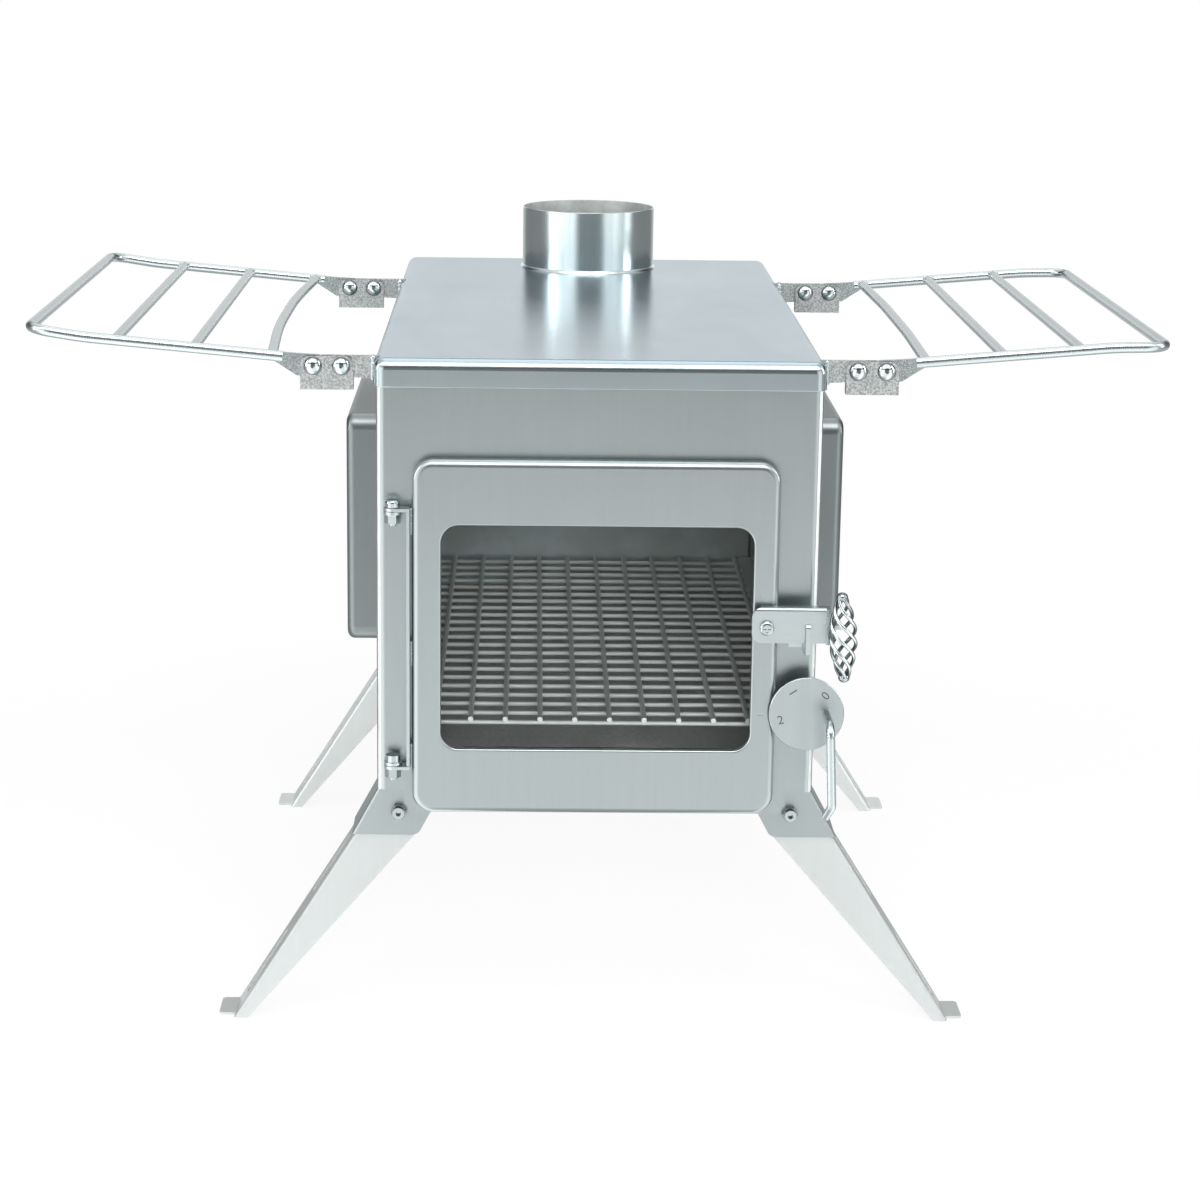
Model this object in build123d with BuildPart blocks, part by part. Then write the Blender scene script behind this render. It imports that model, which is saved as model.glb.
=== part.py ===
from build123d import *
from math import asin, cos, pi, radians, sin, tan
import os

# A tent wood stove in stainless sheet: a long firebox on four folding legs, with a hinged glass
# door, a latch with a coiled wire handle, a turning air dial and two folding side racks.
#
# Frame: millimetres, +Z up, the front door looks along -Y, the racks reach along X.
# The origin is on the floor, under the middle of the whole stove's outline.
# Drops are measured down from the top plate, depths are measured back from the front wall.

# Driving dimensions
sheet = 1.5
top_width, top_length = 254, 480
stand_height = 391.5
rim_height, rim_bend = 15.5, 6
body_corner = 5
wall_top_drop = 6.1
wall_drop = 250
skirt_drop, skirt_half = 263, 110
floor_drop = 245

collar_od, collar_wall, collar_height = 90.8, 1.1, 41.5
collar_depth = 432.5

door_left, door_right = -105.1, 102.2
door_top_drop, door_bottom_drop = 55.1, 260.5
door_front, door_rear = 10.5, 0.8
door_corner, door_bend = 12, 4
window_width, window_height, window_corner = 176, 130, 10
window_x, window_drop = -0.5, 157.4
lip_depth = 2.5

hinge_x, hinge_ahead = -115.9, 6
latch_x, latch_drop = 95.1, 147.8
handle_x, handle_ahead, handle_drop = 137, 30, 150
handle_length, handle_width, handle_wire = 50, 16.5, 2.1

dial_x, dial_drop, dial_radius = 119.4, 199, 21.4
dial_front, dial_thick = 15, 1.8
dial_rod, dial_rod_ahead = 5, 42

leg_x, leg_drop = 113, 263
leg_depths = (3.1, 413.1)
leg_flange, bracket_flange = 29.5, 33

rack_bar = 6
rack_tilt = 5
rivet_drop = 6.2
inner_rivet_x, outer_rivet_x = 145.2, 161.1
rail_depths = (15, 352)
rack_reach = 159.5

# Fits and clearances
running = 0.05
weld_gap = 0.1
cope_gap = 0.02
part_gap = 0.3
dial_door_gap = 0.6

# Places worked out from the driving dimensions
body_width = top_width - 2 * sheet
body_length = top_length - 2 * sheet
inner_width = body_width - 2 * sheet
reach = dial_rod_ahead + dial_rod / 2
front_y = -(top_length - sheet - reach) / 2
collar_radius = collar_od / 2


def level(drop):
    """Height above the floor of a place that lies `drop` below the top plate."""
    return stand_height - drop


def facing(depth, drop=0.0, x=0.0):
    """A plane seen from the front: local x is X, local y is Z, and it looks along -Y."""
    return Plane(origin=(x, front_y + depth, level(drop)), x_dir=(1, 0, 0), z_dir=(0, -1, 0))


def save(part, name):
    part.label = name
    export_step(part, f"parts/{name}.step")


os.makedirs("parts", exist_ok=True)
middle_depth = body_length / 2
middle_y = front_y + middle_depth

# Top plate: a shallow pan with rounded edges, open below
with BuildPart() as lid_envelope:
    with BuildSketch(Plane.XY.offset(level(rim_height))):
        with Locations((0, middle_y)):
            RectangleRounded(top_width, top_length, body_corner + sheet)
    extrude(amount=rim_height)
    fillet(lid_envelope.faces().sort_by(Axis.Z)[-1].edges(), rim_bend)

with BuildPart() as lid_core:
    with BuildSketch(Plane.XY.offset(level(rim_height))):
        with Locations((0, middle_y)):
            RectangleRounded(body_width, body_length, body_corner)
    extrude(amount=rim_height - sheet)
    fillet(lid_core.faces().sort_by(Axis.Z)[-1].edges(), rim_bend - sheet)

with BuildPart() as top_plate:
    add(lid_envelope.part)
    add(lid_core.part, mode=Mode.SUBTRACT)
    with BuildSketch(Plane.XY.offset(level(2 * sheet))):
        with Locations((0, front_y + collar_depth)):
            Circle(collar_radius + weld_gap)
    extrude(amount=3 * sheet, mode=Mode.SUBTRACT)
save(top_plate.part, "top_plate")

# Flue collar: a thin tube let through the top plate, with a weld bead round its foot
bead = 1.8
with BuildPart() as flue_collar:
    with BuildSketch(Plane.XY.offset(level(2 * sheet))):
        with Locations((0, front_y + collar_depth)):
            Circle(collar_radius)
            Circle(collar_radius - collar_wall, mode=Mode.SUBTRACT)
    extrude(amount=collar_height + 2 * sheet)
    with BuildSketch(Plane(origin=(0, front_y + collar_depth, level(0)), x_dir=(1, 0, 0), z_dir=(0, -1, 0))):
        Polygon(
            (collar_radius - collar_wall / 2, weld_gap / 2),
            (collar_radius + bead, weld_gap / 2),
            (collar_radius + bead * 0.6, bead * 0.65),
            (collar_radius, bead),
            (collar_radius - collar_wall / 2, bead),
            align=None,
        )
    revolve(axis=Axis((0, front_y + collar_depth, 0), (0, 0, 1)))
    chamfer(flue_collar.faces().sort_by(Axis.Z)[-1].edges(), 0.3)
save(flue_collar.part, "flue_collar")

# Firebox shell: front and side walls bent from one sheet, with a skirt behind the door's foot
# and narrow returns at the rear for the back wall to lap against
door_x = (door_left + door_right) / 2
door_width = door_right - door_left
door_drop = (door_top_drop + door_bottom_drop) / 2
door_height = door_bottom_drop - door_top_drop
opening_width, opening_height, opening_corner = 180, 168, 12
port_radius, port_reach, port_angle = 3.5, 8.5, 30
nut_clearance = 5.6
back_half, back_lap = inner_width / 2 - body_corner + sheet, 9

with BuildPart() as firebox_shell:
    with BuildSketch(Plane.XY.offset(level(wall_drop))):
        with Locations((0, middle_y)):
            RectangleRounded(body_width, body_length, body_corner)
            RectangleRounded(inner_width, body_length - 2 * sheet, body_corner - sheet, mode=Mode.SUBTRACT)
        with Locations((0, middle_y + body_length / 2)):
            Rectangle(2 * (back_half - back_lap), 3 * sheet, mode=Mode.SUBTRACT)
    extrude(amount=wall_drop - wall_top_drop)
    with BuildSketch(facing(sheet, skirt_drop)):
        with Locations((0, (skirt_drop - wall_drop) / 2 + 1)):
            Rectangle(2 * skirt_half, skirt_drop - wall_drop + 2)
    extrude(amount=sheet)
    with BuildSketch(facing(2 * sheet)):
        with Locations((door_x, -door_drop)):
            RectangleRounded(opening_width, opening_height, opening_corner)
        with Locations((-leg_x, -leg_drop), (leg_x, -leg_drop)):
            Circle(nut_clearance)
        with Locations((dial_x, -dial_drop)):
            Circle(dial_rod / 2 + running)
            with PolarLocations(port_reach, 2, 180 - port_angle, 2 * port_angle, endpoint=True):
                Circle(port_radius)
    extrude(amount=3 * sheet, mode=Mode.SUBTRACT)
save(firebox_shell.part, "firebox_shell")

# Back wall and bottom plate close the firebox
with BuildPart() as back_wall:
    with BuildSketch(facing(body_length - sheet)):
        with Locations((0, -(wall_drop + wall_top_drop) / 2)):
            RectangleRounded(2 * back_half, wall_drop - wall_top_drop, 1)
    extrude(amount=sheet)
save(back_wall.part, "back_wall")

floor_length = body_length - 3 * sheet
floor_y = middle_y - sheet / 2
floor_lip = 6
with BuildPart() as bottom_plate:
    with BuildSketch(Plane.XY.offset(level(floor_drop))):
        with Locations((0, floor_y)):
            RectangleRounded(inner_width, floor_length, body_corner - sheet)
    extrude(amount=floor_lip)
    with BuildSketch(Plane.XY.offset(level(floor_drop) + sheet)):
        with Locations((0, floor_y)):
            RectangleRounded(inner_width - 2 * sheet, floor_length - 2 * sheet, body_corner - 2 * sheet)
    extrude(amount=floor_lip, mode=Mode.SUBTRACT)
save(bottom_plate.part, "bottom_plate")

# Side covers: shallow closed pans welded to the side walls
cover_reach, cover_corner, cover_bend = 23.5, 9, 4.5
cover_depths, cover_drops = (110, 340), (51, 190)
cover_y = front_y + sum(cover_depths) / 2
cover_z = level(sum(cover_drops) / 2)
cover_long = cover_depths[1] - cover_depths[0]
cover_tall = cover_drops[1] - cover_drops[0]
for side, word in ((-1, "left"), (1, "right")):
    wall_plane = Plane(origin=(side * body_width / 2, cover_y, cover_z), x_dir=(0, 1, 0), z_dir=(side, 0, 0))
    with BuildPart() as cover_core:
        with BuildSketch(wall_plane):
            RectangleRounded(cover_long - 2 * sheet, cover_tall - 2 * sheet, cover_corner - sheet)
        extrude(amount=cover_reach - sheet)
        fillet(cover_core.faces().sort_by(Axis.X)[0 if side < 0 else -1].edges(), cover_bend - sheet)
    with BuildPart() as side_cover:
        with BuildSketch(wall_plane):
            RectangleRounded(cover_long, cover_tall, cover_corner)
        extrude(amount=cover_reach)
        fillet(side_cover.faces().sort_by(Axis.X)[0 if side < 0 else -1].edges(), cover_bend)
        add(cover_core.part, mode=Mode.SUBTRACT)
    save(side_cover.part, f"side_cover_{word}")

# Grate: a square wire mesh lying on two angle ledges
mesh_pitch, long_wire, cross_wire = 20, 3, 2.6
long_count, cross_count = 12, 22
grate_x, grate_front = -2, 12
ledge_drop, ledge_width, ledge_height = 213.9, 12, 14
cross_drop = ledge_drop - cross_wire / 2
long_drop = cross_drop - (cross_wire + long_wire) / 2
grate_overrun = 4
with BuildPart() as grate_ledges:
    for side in (-1, 1):
        with BuildSketch(facing(460)):
            wall_x = side * inner_width / 2
            Polygon(
                (wall_x, -ledge_drop),
                (wall_x - side * ledge_width, -ledge_drop),
                (wall_x - side * ledge_width, -ledge_drop - sheet),
                (wall_x - side * sheet, -ledge_drop - sheet),
                (wall_x - side * sheet, -ledge_drop - ledge_height),
                (wall_x, -ledge_drop - ledge_height),
                align=None,
            )
        extrude(amount=450)
save(grate_ledges.part, "grate_ledges")

mesh_length = (cross_count - 1) * mesh_pitch
mesh_width = (long_count - 1) * mesh_pitch
with BuildPart() as grate_long_wires:
    with BuildSketch(facing(grate_front + mesh_length + grate_overrun, long_drop, grate_x)):
        with GridLocations(mesh_pitch, 1, long_count, 1):
            Circle(long_wire / 2)
    extrude(amount=mesh_length + 2 * grate_overrun)
save(grate_long_wires.part, "grate_long_wires")

cross_plane = Plane(
    origin=(grate_x - mesh_width / 2 - grate_overrun, front_y + grate_front + mesh_length / 2, level(cross_drop)),
    x_dir=(0, 1, 0),
    z_dir=(1, 0, 0),
)
with BuildPart() as grate_cross_wires:
    with BuildSketch(cross_plane):
        with GridLocations(mesh_pitch, 1, cross_count, 1):
            Circle(cross_wire / 2)
    extrude(amount=mesh_width + 2 * grate_overrun)
save(grate_cross_wires.part, "grate_cross_wires")

# Door pan: pressed sheet with a rolled window lip. Its latch edge is hollowed round the dial,
# which reaches over it, so the door can swing out past the dial.
scallop = dial_radius + dial_door_gap
lip_top = door_front - sheet - lip_depth
with BuildPart() as door_core:
    with BuildSketch(facing(-door_rear)):
        with Locations((door_x, -door_drop)):
            RectangleRounded(door_width - 2 * sheet, door_height - 2 * sheet, door_corner - sheet)
    extrude(amount=door_front - door_rear - sheet)
    fillet(door_core.faces().sort_by(Axis.Y)[0].edges(), door_bend - sheet)
    with BuildSketch(facing(-lip_top)):
        with Locations((window_x, -window_drop)):
            RectangleRounded(window_width + 2 * sheet, window_height + 2 * sheet, window_corner + sheet)
    extrude(amount=lip_depth, mode=Mode.SUBTRACT)
    with BuildSketch(facing(0)):
        with Locations((dial_x, -dial_drop)):
            Circle(scallop + sheet)
    extrude(amount=2 * door_front, mode=Mode.SUBTRACT)

with BuildPart() as door_pan:
    with BuildSketch(facing(-door_rear)):
        with Locations((door_x, -door_drop)):
            RectangleRounded(door_width, door_height, door_corner)
    extrude(amount=door_front - door_rear)
    fillet(door_pan.faces().sort_by(Axis.Y)[0].edges(), door_bend)
    add(door_core.part, mode=Mode.SUBTRACT)
    with BuildSketch(facing(0)):
        with Locations((window_x, -window_drop)):
            RectangleRounded(window_width, window_height, window_corner)
        with Locations((dial_x, -dial_drop)):
            Circle(scallop)
    extrude(amount=2 * door_front, mode=Mode.SUBTRACT)
    front_face = door_pan.faces().filter_by(Axis.Y).sort_by(Axis.Y)[0]
    fillet(front_face.inner_wires()[0].edges(), sheet * 0.8)
    with BuildSketch(facing(-door_front)):
        with Locations((93.1, -201.6)):
            RectangleRounded(4, 1, 0.4)
    extrude(amount=0.3)
save(door_pan.part, "door_pan")

# Door glass, its seal against the lip, and the two bars that hold it
seal_thick, glass_thick = 0.8, 4
glass_width, glass_height, glass_corner = 185, 144, 6
seal_rear = lip_top - seal_thick
glass_rear = seal_rear - glass_thick
with BuildPart() as glass_seal:
    with BuildSketch(facing(-seal_rear)):
        with Locations((window_x, -window_drop)):
            RectangleRounded(glass_width, glass_height, glass_corner)
            RectangleRounded(
                window_width + 1, window_height + 1, window_corner, mode=Mode.SUBTRACT
            )
    extrude(amount=seal_thick)
save(glass_seal.part, "glass_seal")

with BuildPart() as door_glass:
    with BuildSketch(facing(-glass_rear)):
        with Locations((window_x, -window_drop)):
            RectangleRounded(glass_width, glass_height, glass_corner)
    extrude(amount=glass_thick)
    chamfer(door_glass.edges().filter_by(Axis.Y, reverse=True), 0.3)
save(door_glass.part, "door_glass")

retainer_length, retainer_sheet, pad_width, hook_width = 150, 1, 13, 8
skin_rear = door_front - sheet
stud_spacing, stud_radius, nut_flats, nut_thick = 60, 2, 7, 3.2
pad_drops = []
with BuildPart() as glass_retainers:
    for sign in (-1, 1):
        edge = window_drop - sign * (glass_height / 2 + 2)
        far = edge - sign * pad_width
        near = edge + sign * hook_width
        pad_drops.append((edge + far) / 2)
        retainer_plane = Plane(
            origin=(window_x - retainer_length / 2, front_y, level(0)), x_dir=(0, -1, 0), z_dir=(1, 0, 0)
        )
        with BuildSketch(retainer_plane):
            Polygon(
                (skin_rear, far),
                (skin_rear, edge),
                (glass_rear - weld_gap, edge),
                (glass_rear - weld_gap, near),
                (glass_rear - weld_gap - retainer_sheet, near),
                (glass_rear - weld_gap - retainer_sheet, edge - sign * retainer_sheet),
                (skin_rear - retainer_sheet, edge - sign * retainer_sheet),
                (skin_rear - retainer_sheet, far),
                align=None,
            )
        extrude(amount=retainer_length)
    with BuildSketch(facing(0)):
        for pad_drop in pad_drops:
            with Locations((window_x, -pad_drop)):
                with GridLocations(stud_spacing, 1, 3, 1):
                    Circle(stud_radius + weld_gap)
    extrude(amount=skin_rear, mode=Mode.SUBTRACT)
save(glass_retainers.part, "glass_retainers")

with BuildPart() as retainer_studs:
    with BuildSketch(facing(-2.5)):
        for pad_drop in pad_drops:
            with Locations((window_x, -pad_drop)):
                with GridLocations(stud_spacing, 1, 3, 1):
                    Circle(stud_radius)
    extrude(amount=skin_rear - 2.5)
save(retainer_studs.part, "glass_retainer_studs")

with BuildPart() as retainer_nuts:
    with BuildSketch(facing(-(skin_rear - retainer_sheet - nut_thick))):
        for pad_drop in pad_drops:
            with Locations((window_x, -pad_drop)):
                with GridLocations(stud_spacing, 1, 3, 1):
                    RegularPolygon(nut_flats / 2, 6, major_radius=False)
                    Circle(stud_radius + running / 2, mode=Mode.SUBTRACT)
    extrude(amount=nut_thick)
save(retainer_nuts.part, "glass_retainer_nuts")

# Door gasket: a rope seal inside the pan's rim that meets the front wall
gasket_width, gasket_rear = 7, 0.4
with BuildPart() as door_gasket:
    with BuildSketch(facing(-gasket_rear)):
        with Locations((door_x, -door_drop)):
            RectangleRounded(door_width - 2 * sheet - 2, door_height - 2 * sheet - 2, door_corner - sheet - 1)
            RectangleRounded(
                door_width - 2 * sheet - 2 - 2 * gasket_width,
                door_height - 2 * sheet - 2 - 2 * gasket_width,
                4,
                mode=Mode.SUBTRACT,
            )
        with Locations((dial_x, -dial_drop)):
            Circle(scallop + sheet + weld_gap, mode=Mode.SUBTRACT)
    extrude(amount=skin_rear - weld_gap - gasket_rear)
    gasket_front = door_gasket.faces().filter_by(Axis.Y).sort_by(Axis.Y)[0]
    chamfer(gasket_front.outer_wire().edges(), 2)
save(door_gasket.part, "door_gasket")

# Hinges: a plate with two bent ears on the door turns on two bolts held by lugs on the front wall
ear_thick, lug_thick, ear_radius, hinge_gap = 1.8, 1.8, 5, 0.3
ear_drops = (82.9, 233.2)
web_left, web_right = -108, -106.2
bolt_radius, bolt_head_radius = 2.25, 4.2
hinge_y = front_y - hinge_ahead


def ear_outline(far_x):
    """A strap that ends in a half circle round the hinge bolt."""
    Circle(ear_radius)
    with Locations(((far_x - hinge_x) / 2, 0)):
        Rectangle(far_x - hinge_x, 2 * ear_radius)
    Circle(bolt_radius + running, mode=Mode.SUBTRACT)


def hinge_plane(drop):
    return Plane(origin=(hinge_x, hinge_y, level(drop)))


tack_spans = ((84, 98), (161, 174), (221, 233))
with BuildPart() as hinge_plate:
    for drop in ear_drops:
        with BuildSketch(hinge_plane(drop + ear_thick)):
            ear_outline(web_right)
        extrude(amount=ear_thick)
    with BuildSketch(facing(-2, 0)):
        with BuildLine():
            top_z, foot_z = -ear_drops[0], -ear_drops[1] - ear_thick
            Polyline((web_left, top_z), (web_right, top_z), (web_right, foot_z), (web_left, foot_z), close=True)
        make_face()
    extrude(amount=door_front - 2.5)
    with BuildSketch(facing(-2.5)):
        for high, low in tack_spans:
            with Locations(((web_right + door_left) / 2, -(high + low) / 2)):
                Rectangle(door_left - web_right, low - high)
    extrude(amount=3.5)
save(hinge_plate.part, "hinge_plate")

lug_drops = (ear_drops[0] + ear_thick + hinge_gap, ear_drops[1] - hinge_gap - lug_thick)
with BuildPart() as hinge_lugs:
    for drop in lug_drops:
        with BuildSketch(hinge_plane(drop + lug_thick)):
            Circle(ear_radius)
            with Locations((0, hinge_ahead / 2)):
                Rectangle(2 * ear_radius, hinge_ahead)
            Circle(bolt_radius + running / 2, mode=Mode.SUBTRACT)
        extrude(amount=lug_thick)
save(hinge_lugs.part, "hinge_lugs")

head_high, hinge_nut_high, bolt_end = 4, 5, 1.5
bolt_tops = (ear_drops[0] - hinge_gap, lug_drops[1])
nut_tops = (lug_drops[0] + lug_thick, ear_drops[1] + ear_thick + hinge_gap)
with BuildPart() as hinge_bolts:
    for top, nut_top in zip(bolt_tops, nut_tops):
        foot = nut_top + hinge_nut_high + bolt_end
        with BuildSketch(hinge_plane(foot)):
            Circle(bolt_radius)
        extrude(amount=foot - top)
        with BuildSketch(hinge_plane(top)):
            Circle(bolt_head_radius)
        extrude(amount=head_high)
    fillet(hinge_bolts.faces().filter_by(Axis.Z).group_by(Axis.Z)[-1].edges(), 1.6)
save(hinge_bolts.part, "hinge_bolts")

with BuildPart() as hinge_nuts:
    for top in nut_tops:
        with BuildSketch(hinge_plane(top + hinge_nut_high)):
            RegularPolygon(4, 6, major_radius=False)
            Circle(bolt_radius + running / 2, mode=Mode.SUBTRACT)
        extrude(amount=hinge_nut_high)
save(hinge_nuts.part, "hinge_nuts")

# Latch: a flanged bar that turns on a screw in the door and drops into a hook on the front wall
bar_thick, bar_rear = 2, 16.5
bar_left, bar_end, bar_top, bar_foot = 86.7, 130.5, 136.3, 156.5
bar_front = bar_rear + bar_thick
flange_left, flange_rear = 92, 11.5
neck_end, neck_drops = 138.9, (146.1, 151.9)
screw_radius = 2
with BuildPart() as latch_standoff:
    with BuildSketch(facing(-door_front)):
        with Locations((latch_x, -latch_drop)):
            Circle(4.5)
            Circle(screw_radius + running / 2, mode=Mode.SUBTRACT)
    extrude(amount=bar_rear - door_front - 0.1)
save(latch_standoff.part, "latch_standoff")

with BuildPart() as latch_bar:
    with BuildSketch(facing(-bar_rear)) as bar_face:
        with Locations(((bar_left + bar_end) / 2, -(bar_top + bar_foot) / 2)):
            Rectangle(bar_end - bar_left, bar_foot - bar_top)
        fillet(bar_face.vertices().group_by(Axis.X)[0], 5.5)
        with Locations(((bar_end + neck_end) / 2 - 1, -sum(neck_drops) / 2)):
            Rectangle(neck_end - bar_end + 2, neck_drops[1] - neck_drops[0])
        with Locations((latch_x, -latch_drop)):
            Circle(screw_radius + running, mode=Mode.SUBTRACT)
        with Locations((136, -sum(neck_drops) / 2)):
            Circle(1.55, mode=Mode.SUBTRACT)
    extrude(amount=bar_thick)
    with BuildSketch(facing(-flange_rear)):
        with Locations(((flange_left + bar_end) / 2, -bar_top - bar_thick / 2)):
            Rectangle(bar_end - flange_left, bar_thick)
    extrude(amount=bar_front - flange_rear)
    with BuildSketch(facing(-bar_rear)):
        with Locations((bar_end - bar_thick / 2, -(bar_top + bar_foot) / 2)):
            Rectangle(bar_thick, bar_foot - bar_top)
    extrude(amount=bar_thick + 3.5)
    bend = latch_bar.edges().filter_by(Axis.X).filter_by(
        lambda edge: abs(edge.center().Y - front_y + bar_front) < 0.01
        and abs(edge.center().Z - level(bar_top)) < 0.01
    )
    fillet(bend, 1.8)
save(latch_bar.part, "latch_bar")

with BuildPart() as latch_screw:
    with BuildSketch(facing(-door_front)):
        with Locations((latch_x, -latch_drop)):
            Circle(screw_radius)
    extrude(amount=bar_front + 0.1 - door_front)
    with BuildSketch(facing(-bar_front - 0.1)):
        with Locations((latch_x, -latch_drop)):
            Circle(4.3)
    extrude(amount=2.6)
    fillet(latch_screw.faces().sort_by(Axis.Y)[0].edges(), 2)
    with BuildSketch(facing(-bar_front - 1.7)):
        with Locations((latch_x, -latch_drop)):
            Rectangle(4.4, 0.9)
            Rectangle(0.9, 4.4)
    extrude(amount=2, mode=Mode.SUBTRACT)
save(latch_screw.part, "latch_screw")

keeper_left, keeper_thick = 117, 2.4
slot_foot = bar_foot + part_gap
keeper_plane = Plane(origin=(keeper_left, front_y, level(0)), x_dir=(0, -1, 0), z_dir=(1, 0, 0))
with BuildPart() as keeper_hook:
    with BuildSketch(keeper_plane):
        with BuildLine():
            Polyline((0, 142), (15.6, 142), (15.6, slot_foot), (19.4, slot_foot), (19.4, 147))
            ThreePointArc((19.4, 147), (21.4, 145), (23.4, 147))
            Polyline((23.4, 147), (23.4, 162), (22, 163.4), (0, 165), (0, 142))
        make_face()
    extrude(amount=keeper_thick)
    with BuildSketch(facing(0)):
        with Locations((keeper_left, -153)):
            Rectangle(8, 20, align=(Align.MAX, Align.CENTER))
    extrude(amount=1.8)
save(keeper_hook.part, "keeper_hook")

# Coiled wire handle: wires twisted into a cage round a square core that the bar's neck carries
handle_tilt, wire_count, wire_points = 3, 5, 7
cap_radius, cap_high = 3.2, 5
wire_end, wire_belly = 1.9, (handle_width - handle_wire) / 2
handle_plane = Plane(
    origin=(handle_x, front_y - handle_ahead, level(handle_drop)),
    x_dir=(cos(radians(handle_tilt)), 0, sin(radians(handle_tilt))),
    z_dir=(-sin(radians(handle_tilt)), 0, cos(radians(handle_tilt))),
)
wire_span = handle_length - cap_high


def wire_point(wire, step):
    """A point on one wire: it climbs the axis as it turns once round, and bellies out between."""
    climb = step / (wire_points - 1)
    turn = 2 * pi * (wire / wire_count - climb)
    out = wire_end + (wire_belly - wire_end) * sin(pi * climb) ** 0.85
    return handle_plane.from_local_coords(Vector(out * cos(turn), out * sin(turn), (climb - 0.5) * wire_span))


core_size = neck_drops[1] - neck_drops[0]
with BuildPart() as coil_handle:
    for wire in range(wire_count):
        with BuildLine() as strand:
            Spline(*[wire_point(wire, step) for step in range(wire_points)])
        with BuildSketch(Plane(origin=strand.line @ 0, z_dir=strand.line % 0)):
            RegularPolygon(handle_wire / 2 * 1.05, 6)
        sweep(path=strand.line)
    for end in (-1, 1):
        with BuildSketch(handle_plane.offset(end * (handle_length / 2 - cap_high) + (end - 1) * cap_high / 2)):
            Circle(cap_radius)
        extrude(amount=cap_high)
    with BuildSketch(facing(-bar_front - 0.1)):
        with Locations((136, -sum(neck_drops) / 2)):
            Rectangle(core_size, core_size)
            Circle(1.5, mode=Mode.SUBTRACT)
    extrude(amount=handle_ahead - bar_front)
save(coil_handle.part, "coil_handle")

with BuildPart() as handle_screw:
    with BuildSketch(facing(-bar_rear + 0.1)):
        with Locations((136, -sum(neck_drops) / 2)):
            Circle(1.45)
    extrude(amount=5)
    with BuildSketch(facing(-bar_rear + 2.1)):
        with Locations((136, -sum(neck_drops) / 2)):
            Circle(2.8)
    extrude(amount=2)
save(handle_screw.part, "handle_screw")

# Air dial: a disc on a spindle through the front wall, with a bent rod to turn it by and a
# shutter disc whose two ports meet those in the wall when the dial is open
bush_radius, bush_depths = 3.6, (1.6, 6.5)
shutter_radius, shutter_ahead = 14, (0.4, 1.9)
clip_depths, spindle_end = (6.8, 7.8), 8.5
spindle_radius = dial_rod / 2
with BuildPart() as dial_bush:
    with BuildSketch(facing(bush_depths[1])):
        with Locations((dial_x, -dial_drop)):
            Circle(bush_radius)
            Circle(spindle_radius + running, mode=Mode.SUBTRACT)
    extrude(amount=bush_depths[1] - bush_depths[0])
    add(firebox_shell.part, mode=Mode.SUBTRACT)
save(dial_bush.part, "dial_bush")

with BuildPart() as air_dial:
    with BuildSketch(facing(-dial_front + dial_thick)):
        with Locations((dial_x, -dial_drop)):
            Circle(dial_radius)
    extrude(amount=dial_thick)
    chamfer(air_dial.edges(), 0.35)
save(air_dial.part, "air_dial")

with BuildPart() as dial_spindle:
    with BuildSketch(facing(spindle_end)):
        with Locations((dial_x, -dial_drop)):
            Circle(spindle_radius)
    extrude(amount=spindle_end + dial_front - dial_thick)
save(dial_spindle.part, "dial_spindle")

with BuildPart() as air_shutter:
    with BuildSketch(facing(-shutter_ahead[0])):
        with Locations((dial_x, -dial_drop)):
            Circle(shutter_radius)
            Circle(spindle_radius + running / 2, mode=Mode.SUBTRACT)
            with PolarLocations(port_reach, 2, 180 - port_angle, 2 * port_angle, endpoint=True):
                Circle(port_radius, mode=Mode.SUBTRACT)
    extrude(amount=shutter_ahead[1] - shutter_ahead[0])
save(air_shutter.part, "air_shutter")

with BuildPart() as dial_clip:
    with BuildSketch(facing(clip_depths[1])):
        with Locations((dial_x, -dial_drop)):
            Circle(bush_radius)
            Circle(spindle_radius + running / 2, mode=Mode.SUBTRACT)
    extrude(amount=clip_depths[1] - clip_depths[0])
save(dial_clip.part, "dial_clip")

rod_root_x, rod_hang_x, rod_tip_x = 130.4, 132.6, 129.6
rod_hang_drop, rod_tip_drop, rod_tip_ahead = 245.5, 253.5, 36.5
rod_stations = [
    (rod_root_x, dial_front, dial_drop),
    (rod_root_x, dial_rod_ahead, dial_drop),
    (rod_hang_x, dial_rod_ahead, rod_hang_drop),
    (rod_tip_x, rod_tip_ahead, rod_tip_drop),
]
rod_bend, rod_tip_bend = 7, 4
with BuildPart() as dial_handle:
    with BuildLine() as rod:
        corners = [Vector(x, front_y - ahead, level(drop)) for x, ahead, drop in rod_stations]
        FilletPolyline(*corners, radius=(rod_bend, rod_tip_bend))
    with BuildSketch(Plane(origin=rod.line @ 0, z_dir=rod.line % 0)):
        Circle(dial_rod / 2)
    sweep(path=rod.line)
    chamfer(dial_handle.faces().sort_by(Axis.Z)[0].edges(), 0.9)
save(dial_handle.part, "dial_handle")

# Legs: a tapered plate with its outer edge folded back and slotted, and a foot tab folded outward
outer_angle, inner_angle = 32.2, 40.8
outer_offset, inner_offset, head_radius = 13.7, 16.6, 11
leg_hole, leg_bend = 2.5, 2
tab_width, tab_setback = 9.5, 4.9
slot_width, slot_spans = 12, ((279, 320), (342, 381))


def along(start, angle, end_drop):
    """The point at `end_drop` on the line that leaves `start` outward and down at `angle`."""
    return (start[0] + (end_drop - start[1]) * tan(radians(angle)), end_drop)


def beside(offset, angle):
    """A point square off the leg's pivot, `offset` from it towards the outer edge."""
    return (leg_x + offset * cos(radians(angle)), leg_drop - offset * sin(radians(angle)))


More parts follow.
